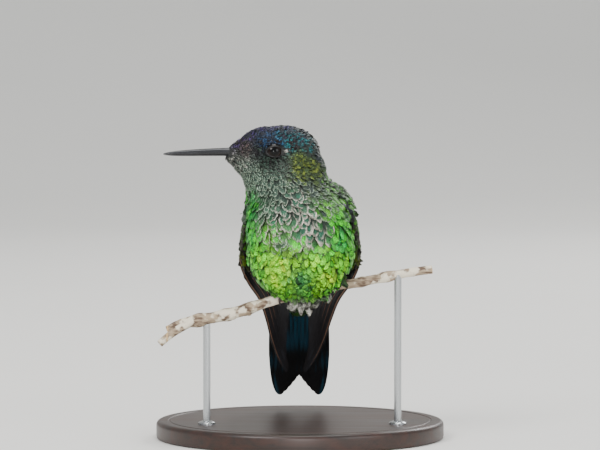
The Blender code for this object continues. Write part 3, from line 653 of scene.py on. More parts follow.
BODY_ZONES = (
    # Neck and throat
    ("throat", (-8.6, -7.0, 24.4), (0.1, 0, -1), 1.15, 2.5, 0.45, "scale", "moss", "scale_rim", 0.26),
    ("throat", (-5.0, -8.0, 23.6), (0.15, 0, -1), 1.35, 2.9, 0.45, "scale", "moss", "scale_rim", 0.24),
    ("throat", (-1.5, -8.0, 23.6), (0.2, 0, -1), 1.6, 3.1, 0.48, "scale", "spot", "ash", 0.26),
    ("throat", (2.2, -6.6, 24.4), (0.2, 0, -1), 1.2, 2.3, 0.45, "slate", "olive", "scale_rim", 0.22),
    ("nape", (5.0, -1.5, 25.2), (0.25, 0.2, -1), 1.2, 2.3, 0.5, "slate", "bronze", "grey", 0.16),
    ("nape", (3.5, 5.6, 24.0), (0.1, 0.5, -1), 1.5, 3.0, 0.55, "slate", "bronze", "crown", 0.16),
    ("nape", (-3.5, 7.0, 24.6), (0, 0.5, -1), 1.5, 3.0, 0.55, "slate", "bronze", "crown", 0.16),
    ("nape", (-11.0, 1.0, 23.4), (0, 0.3, -1), 1.3, 2.7, 0.5, "slate", "green", "crown", 0.16),
    # Upper breast
    ("breast", (-11.4, -5.0, 20.6), (-0.05, 0, -1), 1.5, 3.0, 0.5, "emerald", "green", "dark", 0.16),
    ("breast", (-8.4, -8.2, 20.2), (0, 0, -1), 1.5, 3.1, 0.5, "scale", "moss", "scale_rim", 0.30),
    ("breast", (-5.2, -10.2, 19.4), (0.2, 0, -1), 1.7, 3.3, 0.5, "scale", "spot", "ash", 0.30),
    ("breast", (-1.6, -11.0, 20.6), (0.2, 0, -1), 2.0, 3.4, 0.5, "spot", "scale", "ash", 0.36),
    ("breast", (1.8, -10.8, 18.6), (0.15, 0, -1), 2.2, 3.6, 0.52, "spot", "spot", "ash", 0.40),
    ("breast", (4.2, -10.4, 15.6), (0.1, 0, -1), 2.4, 3.8, 0.52, "spot", "spot", "ash", 0.40),
    ("breast", (0.4, -11.6, 14.6), (0, 0, -1), 2.2, 3.6, 0.52, "spot", "green", "ash", 0.36),
    ("breast", (-7.4, -9.8, 15.4), (0.3, 0, -1), 1.9, 3.4, 0.5, "bronze", "green", "ash", 0.30),
    ("breast", (-4.4, -11.2, 13.6), (0.2, 0, -1), 1.9, 3.4, 0.5, "bronze", "scale", "scale_rim", 0.30),
    ("breast", (5.2, -8.6, 20.2), (0.2, 0, -1), 1.5, 2.9, 0.5, "bronze", "slate", "scale_rim", 0.22),
    ("breast", (7.8, -7.6, 18.0), (0.2, 0, -1), 1.8, 3.1, 0.52, "green", "bronze", "dark", 0.16),
    ("breast", (9.4, -6.6, 14.4), (0.15, 0, -1), 2.2, 3.5, 0.55, "green", "emerald", "dark", 0.14),
    ("breast", (8.6, -2.6, 21.0), (0.3, 0.2, -1), 1.7, 3.0, 0.55, "bronze", "crown", "dark", 0.2),
    ("breast", (-11.8, -5.6, 15.2), (-0.05, 0, -1), 1.8, 3.2, 0.5, "green", "emerald", "dark", 0.16),
    # Lower breast and belly
    ("belly", (-9.8, -7.6, 10.6), (0.0, 0, -1), 1.7, 3.2, 0.55, "green", "lime", "dark", 0.14),
    ("belly", (-5.4, -10.6, 9.6), (0.05, 0, -1), 1.7, 3.2, 0.55, "lime", "yellow", "green", 0.14),
    ("belly", (-1.0, -11.6, 10.2), (0.05, 0, -1), 1.8, 3.3, 0.55, "lime", "bronze", "dark", 0.14),
    ("belly", (3.6, -11.2, 9.8), (0, 0, -1), 1.8, 3.3, 0.55, "green", "lime", "dark", 0.14),
    ("belly", (7.4, -9.6, 9.8), (0, 0, -1), 1.9, 3.4, 0.58, "lime", "green", "dark", 0.14),
    ("belly", (11.0, -6.4, 9.0), (0.1, 0, -1), 2.0, 3.4, 0.6, "green", "lime", "dark", 0.14),
    ("belly", (-9.8, -6.4, 5.0), (0.1, 0.1, -1), 1.6, 3.0, 0.6, "green", "lime", "dark", 0.16),
    ("belly", (-6.0, -9.6, 4.6), (0.1, 0.1, -1), 1.6, 3.0, 0.6, "yellow", "lime", "green", 0.14),
    ("belly", (-3.0, -10.8, 3.6), (0.15, 0.1, -1), 1.6, 3.1, 0.6, "lime", "sea", "dark", 0.16),
    ("belly", (-0.1, -11.2, 4.8), (0, 0.1, -1), 1.5, 3.0, 0.5, "sea", "dark", "dark", 0.2),
    ("belly", (0.1, -10.4, 1.0), (0, 0.1, -1), 1.4, 2.8, 0.5, "sea", "dark", "dark", 0.2),
    ("belly", (3.2, -10.6, 3.8), (-0.1, 0.1, -1), 1.6, 3.1, 0.6, "lime", "sea", "dark", 0.16),
    ("belly", (7.4, -8.8, 4.6), (-0.05, 0.1, -1), 1.7, 3.1, 0.62, "lime", "yellow", "dark", 0.14),
    ("belly", (10.8, -5.6, 3.8), (-0.05, 0.1, -1), 1.7, 3.1, 0.62, "green", "lime", "dark", 0.16),
    ("belly", (-8.4, -5.6, 0.6), (0.3, 0.2, -1), 1.5, 2.8, 0.6, "bronze", "green", "dark", 0.2),
    ("belly", (-4.2, -8.8, 0.6), (0.1, 0.2, -1), 1.5, 2.8, 0.6, "green", "lime", "dark", 0.2),
    ("belly", (4.4, -8.8, 0.6), (-0.1, 0.2, -1), 1.6, 2.9, 0.6, "lime", "green", "dark", 0.18),
    ("belly", (8.8, -5.2, 0.6), (-0.3, 0.2, -1), 1.6, 2.9, 0.6, "bronze", "green", "dark", 0.2),
    # Flanks
    ("flank", (12.0, -1.6, 7.0), (0.05, 0.3, -1), 1.9, 3.4, 0.6, "bronze", "green", "dark", 0.18),
    ("flank", (-12.0, -1.6, 7.0), (-0.05, 0.3, -1), 1.9, 3.4, 0.6, "bronze", "green", "dark", 0.18),
    ("flank", (11.0, 2.6, 1.6), (-0.1, 0.6, -0.8), 1.9, 3.6, 0.6, "copper", "slate", "grey", 0.2),
    ("flank", (-11.0, 2.6, 1.6), (0.1, 0.6, -0.8), 1.9, 3.6, 0.6, "copper", "slate", "grey", 0.2),
    # Vent, between and behind the legs
    ("vent", (0.0, -2.0, -3.2), (0, 0.6, -0.6), 1.2, 3.2, 0.8, "down", "grey", "down", 0.2),
    ("vent", (0.0, 3.4, -3.8), (0, 0.8, -0.6), 1.3, 3.4, 0.8, "down", "grey", "down", 0.2),
    ("vent", (5.4, 2.0, -2.4), (-0.2, 0.7, -0.6), 1.5, 3.2, 0.7, "grey", "down", "slate", 0.2),
    ("vent", (-5.4, 2.0, -2.4), (0.2, 0.7, -0.6), 1.5, 3.2, 0.7, "grey", "down", "slate", 0.2),
    ("vent", (0.0, 10.0, -5.0), (0, 0.64, -0.77), 1.7, 3.4, 0.4, "crown", "slate", "grey", 0.12),
    # Back and rump
    ("back", (0.4, 9.6, 20.0), (0, 0.5, -0.9), 2.0, 3.8, 0.6, "bronze", "copper", "dark", 0.16),
    ("back", (7.0, 7.4, 17.0), (0, 0.5, -0.9), 2.0, 3.8, 0.6, "bronze", "copper", "dark", 0.16),
    ("back", (-7.0, 7.4, 17.0), (0, 0.5, -0.9), 2.0, 3.8, 0.6, "bronze", "copper", "dark", 0.16),
    ("back", (0.4, 12.6, 13.6), (0, 0.55, -0.85), 2.2, 4.0, 0.6, "bronze", "copper", "dark", 0.16),
    ("back", (0.2, 15.0, 6.8), (0, 0.64, -0.77), 2.2, 4.2, 0.6, "copper", "bronze", "dark", 0.16),
    ("back", (5.6, 12.8, 5.4), (0, 0.64, -0.77), 2.2, 4.2, 0.6, "bronze", "copper", "dark", 0.16),
    ("back", (-5.6, 12.8, 5.4), (0, 0.64, -0.77), 2.2, 4.2, 0.6, "bronze", "copper", "dark", 0.16),
    ("back", (-0.1, 20.0, -0.6), (0, 0.64, -0.77), 2.4, 5.0, 0.5, "bronze", "steel", "dark", 0.16),
    ("back", (-0.1, 23.0, -6.0), (0, 0.64, -0.77), 2.6, 5.6, 0.4, "steel", "bronze", "dark", 0.16),
)


class Zones:
    """The table of feather kinds as arrays, blended between their places."""

    def __init__(self, settings, rows):
        self.kinds = [row[0] for row in rows]
        self.place = np.array([row[1] for row in rows], float)
        self.way = np.array([Vector(row[2]).normalized() for row in rows], float)
        self.size = np.array([row[3:6] for row in rows], float)
        tones = [[getattr(settings, name)[:] for name in row[6:9]] for row in rows]
        self.tones = np.array(tones, float).reshape(len(rows), 9)
        self.rim = np.array([row[9] for row in rows], float)
        ahead, aside, up = PALE_SPOT
        self.marks = [(head_point(ahead, side * aside, up), settings.down[:]) for side in (1, -1)]

    def at(self, points):
        """Way, sizes, tones and rim at points, blended, and each point's nearest kind."""
        apart = ((points[:, None, :] - self.place[None, :, :]) ** 2).sum(2)
        share = 1.0 / (apart + BLEND_REACH) ** BLEND_POWER
        share /= share.sum(1, keepdims=True)
        way = share @ self.way
        way /= np.linalg.norm(way, axis=1, keepdims=True)
        nearest = np.argmax(share, axis=1)
        return way, share @ self.size, share @ self.tones, share @ self.rim, [self.kinds[i] for i in nearest]


def body_rows():
    """Every row of the head's and body's tables, with its place and way in the model's own frame."""
    rows = []
    for kind, place, way, *rest in HEAD_ZONES:
        for side in (1, -1):
            point = head_point(place[0], place[1] * side, place[2])
            rows.append((kind, tuple(point), tuple(head_way(way[0], way[1] * side, way[2])), *rest))
    for kind, place, way, *rest in BODY_ZONES:
        rows.append((kind, tuple(GRIP + Vector(place)), way, *rest))
    return rows


def make_skin_mesh(settings):
    """One closed skin of head, neck and trunk, sunk by the depth of the coat, in millimetres."""
    swell = 0.3
    bm = bmesh.new()
    for name in ("head", "neck", "trunk"):
        solid_copy(bm, name, swell)
    for side in (1, -1):
        ahead, aside, up = EYE_PLACE
        egg(bm, head_point(ahead, side * aside, up), (2.25, 2.25, 2.25), rounds=14)
    egg(bm, head_point(9.6, 0, 0.5), (3.2, 1.5, 1.4), rounds=12, turn=HEAD_TURN)
    bm = remeshed(bm, 0.42, 6)
    head_low = head_point(0, 0, -7.5).z
    body, head = mm_of(settings.body_depth), mm_of(settings.head_depth)
    bm.normal_update()
    for v in bm.verts:
        share = min(1.0, max(0.0, (v.co.z - head_low + 3) / 6))
        v.co -= v.normal * (swell + body + (head - body) * share)
    bmesh.ops.smooth_vert(bm, verts=bm.verts, factor=0.5, use_axis_x=True, use_axis_y=True, use_axis_z=True)
    bmesh.ops.triangulate(bm, faces=bm.faces)
    return bm


def unwrap(obj, name):
    """An unwrap of the piece's own shape in a named map."""
    obj.data.uv_layers.new(name=name)
    for other in bpy.context.selected_objects:
        other.select_set(False)
    bpy.context.view_layer.objects.active = obj
    obj.select_set(True)
    bpy.ops.object.mode_set(mode="EDIT")
    bpy.ops.mesh.select_all(action="SELECT")
    bpy.ops.uv.smart_project(angle_limit=math.radians(66), island_margin=0.004)
    bpy.ops.object.mode_set(mode="OBJECT")
    obj.select_set(False)


def colour_layer(mesh, name, values):
    """A named colour for each vertex."""
    layer = mesh.color_attributes.new(name, "FLOAT_COLOR", "POINT")
    layer.data.foreach_set("color", np.hstack([values, np.ones((len(values), 1))]).astype(np.float32).ravel())


def mesh_points(mesh):
    """A mesh's vertices as an array."""
    points = np.zeros(len(mesh.vertices) * 3)
    mesh.vertices.foreach_get("co", points)
    return points.reshape(-1, 3)


def crowded(points, i, radius, key, taken):
    """Whether a root already taken lies nearer to root i than the radius. Roots are kept by their cell."""
    x, y, z = key
    near = math.ceil(radius / CELL)
    for dx, dy, dz in itertools.product(range(-near, near + 1), repeat=3):
        for k in taken.get((x + dx, y + dy, z + dz), ()):
            if ((points[i] - points[k]) ** 2).sum() < radius**2:
                return True
    return False


class Ground:
    """A surface that feathers grow on: its tree, and its unwrap for their places on the map."""

    def __init__(self, obj, layer):
        mesh = obj.data
        mesh.calc_loop_triangles()
        self.points = mesh_points(mesh) / MM
        self.faces = np.array([t.vertices[:] for t in mesh.loop_triangles])
        self.loops = np.array([t.loops[:] for t in mesh.loop_triangles])
        self.maps = np.zeros(len(mesh.loops) * 2)
        mesh.uv_layers[layer].data.foreach_get("uv", self.maps)
        self.maps = self.maps.reshape(-1, 2)
        self.tree = BVHTree.FromPolygons(self.points.tolist(), self.faces.tolist())
        a, b, c = (self.points[self.faces[:, k]] for k in range(3))
        self.area = np.linalg.norm(np.cross(b - a, c - a), axis=1) / 2

    def map_place(self, point, face):
        corners = [Vector(self.points[i]) for i in self.faces[face]]
        places = [Vector((*self.maps[i], 0.0)) for i in self.loops[face]]
        return barycentric_transform(point, *corners, *places)[:2]

    def scatter(self, zones, chance, room, keep):
        """Root points, normals and faces, evenly apart by a share of the local feather width."""
        count = int(self.area.sum() * TRIES)
        faces = chance.choice(len(self.faces), size=count, p=self.area / self.area.sum())
        u, v = chance.random(count), chance.random(count)
        over = u + v > 1
        u[over], v[over] = 1 - u[over], 1 - v[over]
        a, b, c = (self.points[self.faces[faces, k]] for k in range(3))
        points = a + (b - a) * u[:, None] + (c - a) * v[:, None]
        normals = np.cross(b - a, c - a)
        normals /= np.linalg.norm(normals, axis=1, keepdims=True)
        allowed = keep(points, normals)
        points, normals, faces = points[allowed], normals[allowed], faces[allowed]
        radius = zones.at(points)[1][:, 0] * room
        taken, chosen = {}, []
        for i, key in enumerate(np.floor(points / CELL).astype(int).tolist()):
            if not crowded(points, i, radius[i], key, taken):
                taken.setdefault(tuple(key), []).append(i)
                chosen.append(i)
        return points[chosen], normals[chosen], faces[chosen]


# A vane's grid: shares of its length, and of its half width
ROWS = np.array((0.0, 0.16, 0.34, 0.52, 0.70, 0.86, 1.0))
COLUMNS = np.array((-1.0, -0.82, -0.55, -0.26, 0.0, 0.26, 0.55, 0.82, 1.0))


def vane_faces():
    """Faces of one closed vane: the grid on top, and a plain underside."""
    wide = len(COLUMNS)
    faces = []
    for i in range(len(ROWS) - 1):
        for j in range(wide - 1):
            a = i * wide + j
            faces.append((a, a + 1, a + 1 + wide, a + wide))
        a = i * wide
        faces.append((a, a + wide, a + 2 * wide - 1, a + wide - 1))
    tip = (len(ROWS) - 1) * wide
    faces.append(tuple(range(tip, tip + wide)))
    faces.append(tuple(range(wide - 1, -1, -1)))
    return faces


def smooth_share(low, high, value):
    """From nought at low to one at high, with soft ends."""
    share = np.clip((value - low) / (high - low), 0, 1)
    return share * share * (3 - 2 * share)


def vane_colours(tones, rim, along, crosswise, chance):
    """Colours over each vane, from its tones and its rim's share: a dusky root partly in painted shade, a
    field, and a rim.
    """
    count = len(tones)
    pick = smooth_share(0.35, 0.85, chance.random(count))
    field = tones[:, 0:3] * (1 - pick[:, None]) + tones[:, 3:6] * pick[:, None]
    field = field * chance.uniform(0.5, 1.35, count)[:, None]
    reach = np.hypot(crosswise, np.maximum(0, (along - 0.66) / 0.34))
    noisy_rim = rim * chance.uniform(0.8, 1.2, count)
    edge = smooth_share((1 - noisy_rim - 0.09)[:, None], (1 - noisy_rim + 0.09)[:, None], reach)
    colours = field[:, None, :] * (1 - edge[:, :, None]) + tones[:, None, 6:9] * edge[:, :, None]
    root_share = 1 - smooth_share(0.34, 0.66, along)[:, :, None]
    # The root is the field at under a fifth: partly the feather's own dusky base, partly painted shade where
    # the next feathers cover it.
    bases = (field * 0.18 + 0.012)[:, None, :]
    colours = colours * (1 - root_share) + bases * root_share
    grain = chance.uniform(0.86, 1.14, along.shape)[:, :, None]
    return np.clip(colours * grain, 0, 1)


def grow_feathers(ground, zones, roots, chance, loose=0.12):
    """Vanes on their ground: points, colours, barb places, map places and the kind of each."""
    points, normals, faces = roots
    way, size, tones, rim, kinds = zones.at(points)
    count = len(points)
    way = way - normals * (way * normals).sum(1, keepdims=True)
    way += chance.normal(0, loose, (count, 3))
    way -= normals * (way * normals).sum(1, keepdims=True)
    way /= np.linalg.norm(way, axis=1, keepdims=True)
    side = np.cross(way, normals)
    vary = chance.uniform(0.8, 1.2, (count, 3))
    width, long, lift = (size * vary).T
    tilt = chance.normal(0, 0.16, count)
    lengthwise, crosswise = (grid.ravel() for grid in np.meshgrid(ROWS, COLUMNS, indexing="ij"))
    # Narrow at the root and full from 0.6 of its length on, with a rounded and slightly ragged tip
    full = 0.34 + 0.66 * np.sin(np.minimum(1, lengthwise / 0.6) * np.pi / 2)
    ragged = chance.normal(0, 0.018, (count, len(lengthwise))) * (lengthwise > 0.8)
    along = lengthwise * (1 - 0.36 * np.abs(crosswise) ** 2.3 * lengthwise**1.5) + ragged
    sideways = crosswise * full * (1 - 0.10 * (lengthwise > 0.95))
    # The vane lifts off the skin towards its tip, is hollow below, and tilts a little to one side
    rise = np.minimum(1, along / 0.75) ** 0.8
    bow = chance.uniform(0.10, 0.2, count)
    height = lift[:, None] * (rise * 1.16 - 0.16) - (bow * width)[:, None] * (crosswise**2) * full
    height += (tilt * width)[:, None] * crosswise * lengthwise
    flat = (
        points[:, None, :]
        + way[:, None, :] * (along * long[:, None])[:, :, None]
        + side[:, None, :] * (sideways * width[:, None] / 2)[:, :, None]
    )
    placed = flat + normals[:, None, :] * height[:, :, None]
    # Where the ground curves gently, the vane follows it. Where it turns away, the vane stays straight
    find = ground.tree.find_nearest
    tip = len(lengthwise) - len(COLUMNS) // 2 - 1
    kept = np.ones(count, bool)
    for k in range(count):
        root_normal = Vector(normals[k])
        for m in range(len(lengthwise)):
            found = find(flat[k, m])
            bend = found[1].dot(root_normal)
            if bend > 0.25:
                share = min(1.0, (bend - 0.25) / 0.35)
                onto = found[0] + found[1] * height[k, m]
                placed[k, m] = np.array(onto) * share + placed[k, m] * (1 - share)
        if kinds[k] not in ("belly", "vent"):
            kept[k] = find(placed[k, tip])[3] < STRAY
    for spot, tone in zones.marks:
        inside = np.linalg.norm(points - np.array(spot), axis=1) < PALE_SPOT_RADIUS
        tones[inside] = np.tile(tone, 3)
    colours = vane_colours(tones, rim, along, crosswise, chance)
    barbs = np.stack(
        [
            (sideways * width[:, None] / 2) + chance.uniform(0, 90, count).round()[:, None] * 10,
            along * long[:, None] + chance.uniform(0, 50, count)[:, None],
        ],
        axis=2,
    )
    middle = np.array([ground.map_place(Vector(p), f) for p, f in zip(points, faces)])
    patch = np.stack([np.tile(crosswise * PATCH / 2, (count, 1)), (along - 0.5) * PATCH], axis=2)
    maps = middle[:, None, :] + patch
    kinds = np.array(kinds)
    return placed[kept], colours[kept], barbs[kept], maps[kept], kinds[kept]


def feather_mesh(name, placed, colours, barbs, maps):
    """One mesh of many vanes, in metres, with their colours and their two maps."""
    count, each = placed.shape[:2]
    pattern = vane_faces()
    faces = [tuple(i + k * each for i in face) for k in range(count) for face in pattern]
    mesh = bpy.data.meshes.new(name)
    mesh.from_pydata((placed.reshape(-1, 3) * MM).tolist(), [], faces)
    colour_layer(mesh, "tint", colours.reshape(-1, 3))
    corner = np.zeros(len(mesh.loops), dtype=np.int64)
    mesh.loops.foreach_get("vertex_index", corner)
    for layer, values in (("OFBake", maps), ("barbs", barbs)):
        flat = values.reshape(-1, 2)[corner]
        mesh.uv_layers.new(name=layer).data.foreach_set("uv", flat.astype(np.float32).ravel())
    mesh.shade_smooth()
    return mesh


def plumage_material(name, gloss=0.62, roughness=0.40):
    """Structural colour of hummingbird barbules: half metallic, crossed by fine barbs, and sparkling with
    painted glints.
    """
    material, tree = new_material(name)
    tint = add_node(tree, "ShaderNodeAttribute", attribute_name="tint")
    # The barbs map is in millimetres. Real barbs are too fine to show, so they are drawn 0.3 mm apart
    barbs = add_node(tree, "ShaderNodeUVMap", uv_map="barbs")
    cells = add_node(
        tree,
        "ShaderNodeTexNoise",
        {"Vector": barbs.outputs[0], "Scale": 4.6, "Detail": 3.0, "Roughness": 0.7},
    )
    wave = add_node(
        tree,
        "ShaderNodeTexWave",
        {"Vector": barbs.outputs[0], "Scale": 1.1, "Distortion": 3.0, "Detail": 1.0, "Detail Scale": 2.0},
        bands_direction="DIAGONAL",
    )
    height = add_node(
        tree, "ShaderNodeMath", {0: wave.outputs["Fac"], 1: cells.outputs[0]}, operation="MULTIPLY"
    )
    # Painted glints: the noise makes the colour up to twice as bright in small specks, and far darker between
    # them.
    lit = shaded(tree, tint.outputs["Color"], cells.outputs[0], 0.22, 2.0, span=(0.36, 0.64))
    inputs = {"Base Color": lit, "Metallic": gloss, "Roughness": roughness}
    surface(tree, inputs, relief=(height.outputs[0], 0.8, 0.16 * MM))
    return material


def skin_material(name):
    """Bare bird skin under the feathers: dull, with a tint of painted shade, a much darker copy of the coat's
    own markings.
    """
    material, tree = new_material(name)
    tint = add_node(tree, "ShaderNodeAttribute", attribute_name="tint")
    pores = grained(tree, (0.7143, 0.7143, 0.7143), 4.0)
    lit = shaded(tree, tint.outputs["Color"], pores, 0.6, 1.4)
    surface(tree, {"Base Color": lit, "Roughness": 0.8}, relief=(pores, 0.5, 0.1 * MM))
    return material


COAT_SLOTS = {
    "crown": "crown_feathers",
    "face": "crown_feathers",
    "throat": "throat_feathers",
    "nape": "throat_feathers",
    "breast": "body_feathers",
    "belly": "body_feathers",
    "flank": "body_feathers",
    "vent": "body_feathers",
    "back": "body_feathers",
}


class HUMMINGBIRD_OT_skin(bpy.types.Operator):
    """One skin over head, neck and trunk, under the feathers"""

    bl_idname = "hummingbird.skin"
    bl_label = "Skin"

    def execute(self, context):
        settings = context.scene.bird_plumage
        mesh = metre_mesh("skin", make_skin_mesh(settings), sharp=180.0)
        skin = piece("skin", mesh, skin_material("bird_skin"), "body_feathers", "head", "neck", "trunk")
        zones = Zones(settings, body_rows())
        tones = zones.at(mesh_points(mesh) / MM)[2]
        # Painted shade: the skin takes the coat's colours at a tenth, so it reads as the shade between the
        # feathers.
        colour_layer(mesh, "tint", tones[:, 0:3] * 0.10 + 0.008)
        unwrap(skin, "OFBake")
        return {"FINISHED"}


class HUMMINGBIRD_OT_coat(bpy.types.Operator):
    """The contour feathers of head, neck and trunk, in pieces by region"""

    bl_idname = "hummingbird.coat"
    bl_label = "Coat"

    def execute(self, context):
        settings = context.scene.bird_plumage
        chance = np.random.default_rng(settings.seed)
        ground = Ground(bpy.data.objects["skin"], "OFBake")
        zones = Zones(settings, body_rows())
        roots = ground.scatter(zones, chance, 0.50, bare_places_left_out)
        placed, colours, barbs, maps, kinds = grow_feathers(ground, zones, roots, chance)
        material = plumage_material("hummingbird_plumage")
        for kind, slot_name in COAT_SLOTS.items():
            here = kinds == kind
            if here.any():
                mesh = feather_mesh(f"coat_{kind}", placed[here], colours[here], barbs[here], maps[here])
                piece(f"coat_{kind}", mesh, material, slot_name)
        return {"FINISHED"}


def everywhere(points, normals):
    """Feathers may root all over a surface."""
    return np.ones(len(points), bool)


def bare_places_left_out(points, normals):
    """Where feathers may root: not in the eye openings, on the bill's root, or in the room of the twig."""
    allowed = everywhere(points, normals)
    bill = np.array(head_point(12.6, 0, 0.4))
    allowed &= np.linalg.norm(points - bill, axis=1) > BILL_ROOM
    for side in (1, -1):
        middle = np.array(head_point(EYE_PLACE[0] + 0.35, side * EYE_PLACE[1], EYE_PLACE[2]))
        apart = points - middle
        ways = (head_way(1, 0, 0), head_way(0, side, 0), head_way(0, 0, 1))
        ahead, aside, rise = (apart @ np.array(way) for way in ways)
        long, high = EYE_ROOM
        allowed &= ((ahead / long) ** 2 + (rise / high) ** 2 > 1) | (aside < 0)
    line = np.array([GRIP + p for p in smooth_line(TWIG_LINE, 61)])
    apart = np.linalg.norm(points[:, None, :] - line[None], axis=2).min(1)
    below = points[:, 2] < GRIP.z + 3
    allowed &= ~((apart < TWIG_ROOM) & below & (np.abs(normals[:, 1]) < 0.98) & (points[:, 1] > GRIP.y - 3.0))
    return allowed


# ---- wings and tail ----


def arm_mesh(side):
    """The wing's arm under its coverts: a copy of the solid, sunk a little and smoothed."""
    bm = bmesh.new()
    solid_copy(bm, "wing_left" if side > 0 else "wing_right", -0.02)
    bm = remeshed(bm, 0.35, 5)
    bm.normal_update()
    for v in bm.verts:
        v.co -= v.normal * 0.18
    bmesh.ops.triangulate(bm, faces=bm.faces)
    return bm


def wing_rows(side):
    """Rows of covert kinds down one wing, from its bend to the flight feathers."""
    rows = []
    for share, width, long, lift, *tones in COVERT_KINDS:
        edge, along, across, _ = wing_frame(side, share)
        for inward in (1.2, 3.0, 5.0):
            way = along + across * 0.12 * inward / 3
            place = edge + across * inward
            rows.append(("outer", tuple(place), tuple(way), width, long, lift, *tones, COVERT_RIM))
        tones = ("dusk", "brown", "grey") if share > 0.05 else ("bronze", "dusk", "dark")
        place = edge + across * 0.1
        small = (width * 0.6, long * 0.7, lift * 0.6)
        rows.append(("edge", tuple(place), tuple(along), *small, *tones, COVERT_RIM))
    return rows


class HUMMINGBIRD_OT_wing_coverts(bpy.types.Operator):
    """Each wing's arm, and its coverts in rows from the bend to the flight feathers"""

    bl_idname = "hummingbird.wing_coverts"
    bl_label = "Wing coverts"

    def execute(self, context):
        settings = context.scene.bird_plumage
        material = plumage_material("covert_plumage", gloss=0.35, roughness=0.5)
        skin = skin_material("wing_skin")
        for side, name in SIDES:
            chance = np.random.default_rng(settings.seed + 10 + side)
            mesh = metre_mesh(f"wing_arm_{name}", arm_mesh(side), sharp=180.0)
            arm = piece(f"wing_arm_{name}", mesh, skin, "covert_feathers", f"wing_{name}")
            zones = Zones(settings, wing_rows(side))
            tones = zones.at(mesh_points(mesh) / MM)[2]
            # Painted shade: the arm takes its coverts' colours at under a third, so it reads as the shade
            # between them.
            colour_layer(mesh, "tint", tones[:, 0:3] * 0.3 + 0.01)
            unwrap(arm, "OFBake")
            ground = Ground(arm, "OFBake")
            roots = ground.scatter(zones, chance, 0.42, everywhere)
            placed, colours, barbs, maps, _ = grow_feathers(ground, zones, roots, chance, loose=0.06)
            mesh = feather_mesh(f"wing_coverts_{name}", placed, colours, barbs, maps)
            piece(f"wing_coverts_{name}", mesh, material, "covert_feathers")
        return {"FINISHED"}


def quill(rows, shaft):
    """A long feather. A row is a point on the shaft, the ways across and out, and how far each vane reaches.

    Returns its vanes as one thin closed shell with their barb places, and its shaft as a tapered tube.
    """
    inner, outer = 6, 10
    bm = bmesh.new()
    map_layer = bm.loops.layers.uv.new("barbs")
    shares = [-(1 - k / outer) for k in range(outer)] + [k / inner for k in range(inner + 1)]
    grid = []
    run = 0.0
    for i, (point, across, out, near, far) in enumerate(rows):
        if i:
            run += (point - rows[i - 1][0]).length
        line = []
        for share in shares:
            reach = share * (far if share > 0 else near)
            droop = -0.16 * abs(share) ** 1.6 * max(near, far) * 0.35
            line.append((bm.verts.new(point + across * reach + out * droop), reach, run))
        grid.append(line)
    for a, b in zip(grid, grid[1:]):
        for k in range(len(shares) - 1):
            corners = (a[k], a[k + 1], b[k + 1], b[k])
            face = bm.faces.new([corner[0] for corner in corners])
            for loop, corner in zip(face.loops, corners):
                loop[map_layer].uv = corner[1:]
    bmesh.ops.remove_doubles(bm, verts=bm.verts, dist=0.004)
    bmesh.ops.recalc_face_normals(bm, faces=bm.faces)
    bmesh.ops.solidify(bm, geom=bm.faces[:], thickness=VANE_THICKNESS)
    line = [row[0] for row in rows[:-1]]
    radii = [shaft * (1 - 0.82 * i / (len(line) - 1)) for i in range(len(line))]
    return bm, tube(line_stations(line, radii), 6)


def vane_end(share):
    """How full a vane is at a share of its length: rounded off near its tip."""
    return max(0.0, 1 - share**6) ** 0.5


def primary_rows(side, rank, settings):
    """Rows of one primary. Rank 0 is the longest, at the wing's leading edge."""
    start = ARM_END - ROOT_SHARE
    end = 1.0 - PRIMARY_STEP * rank
    width = mm_of(settings.primary_width)
    near_share = 0.13 if rank == 0 else 0.24
    rows = []
    for i in range(QUILL_ROWS):
        place = 1 - (1 - i / (QUILL_ROWS - 1)) ** 1.25
        share = start + (end - start) * place
        edge, _, across, out = wing_frame(side, share)
        along = max(0.0, (share - ARM_END) / (1 - ARM_END))
        own = max(0.0, (share - ARM_END) / (end - ARM_END))
        tapered = width * (1 - 0.3 * along)
        open_width = tapered * vane_end(own)
        near = open_width * near_share
        far = open_width - near
        shift = rank * (1 - 0.5 * along) + tapered * near_share
        sunk = 0.25 + LAYER_STEP * rank
        rows.append((edge + across * shift - out * sunk, across, out, near, far))
    return rows


def rectrix_rows(side, rank, settings):
    """Rows of one tail feather. Rank 0 is beside the middle, 4 is the outer one."""
    lean = math.radians(TAIL_LEAN)
    along = Vector((0, math.sin(lean), -math.cos(lean)))
    under = Vector((0, -math.cos(lean), -math.sin(lean)))
    root = GRIP + Vector(TAIL_ROOT)
    outward = rank / (TAIL_PAIRS - 1)
    long = mm_of(settings.tail_length) - mm_of(settings.tail_fork) * (1 - outward) ** 1.2
    half = mm_of(settings.tail_half_width)
    width = mm_of(settings.rectrix_width)
    outwards = Vector((side, 0, 0))
    across = (outwards + under * TAIL_ARCH / half).normalized()
    rows = []
    for i in range(QUILL_ROWS):
        place = 1 - (1 - i / (QUILL_ROWS - 1)) ** 1.3
        reach = TAIL_COVERED + (long - TAIL_COVERED) * place
        spread = 0.60 + 0.40 * math.sin(min(1.0, reach / 16) * math.pi / 2)
        middle = (TAIL_GAP + (half - width / 2 - TAIL_GAP) * outward) * spread
        half_width = width / 2 * (0.72 + 0.28 * min(1.0, reach / 28)) * vane_end(reach / long)
        shaft_shift = half_width * 0.34 * outward
        near = half_width + shaft_shift
        far = half_width - shaft_shift
        level = TAIL_ARCH / half * middle + LAYER_STEP * (rank - 2)
        point = root + along * reach + outwards * (middle + shaft_shift) + under * level
        rows.append((point, across, -under, near, far))
    return rows


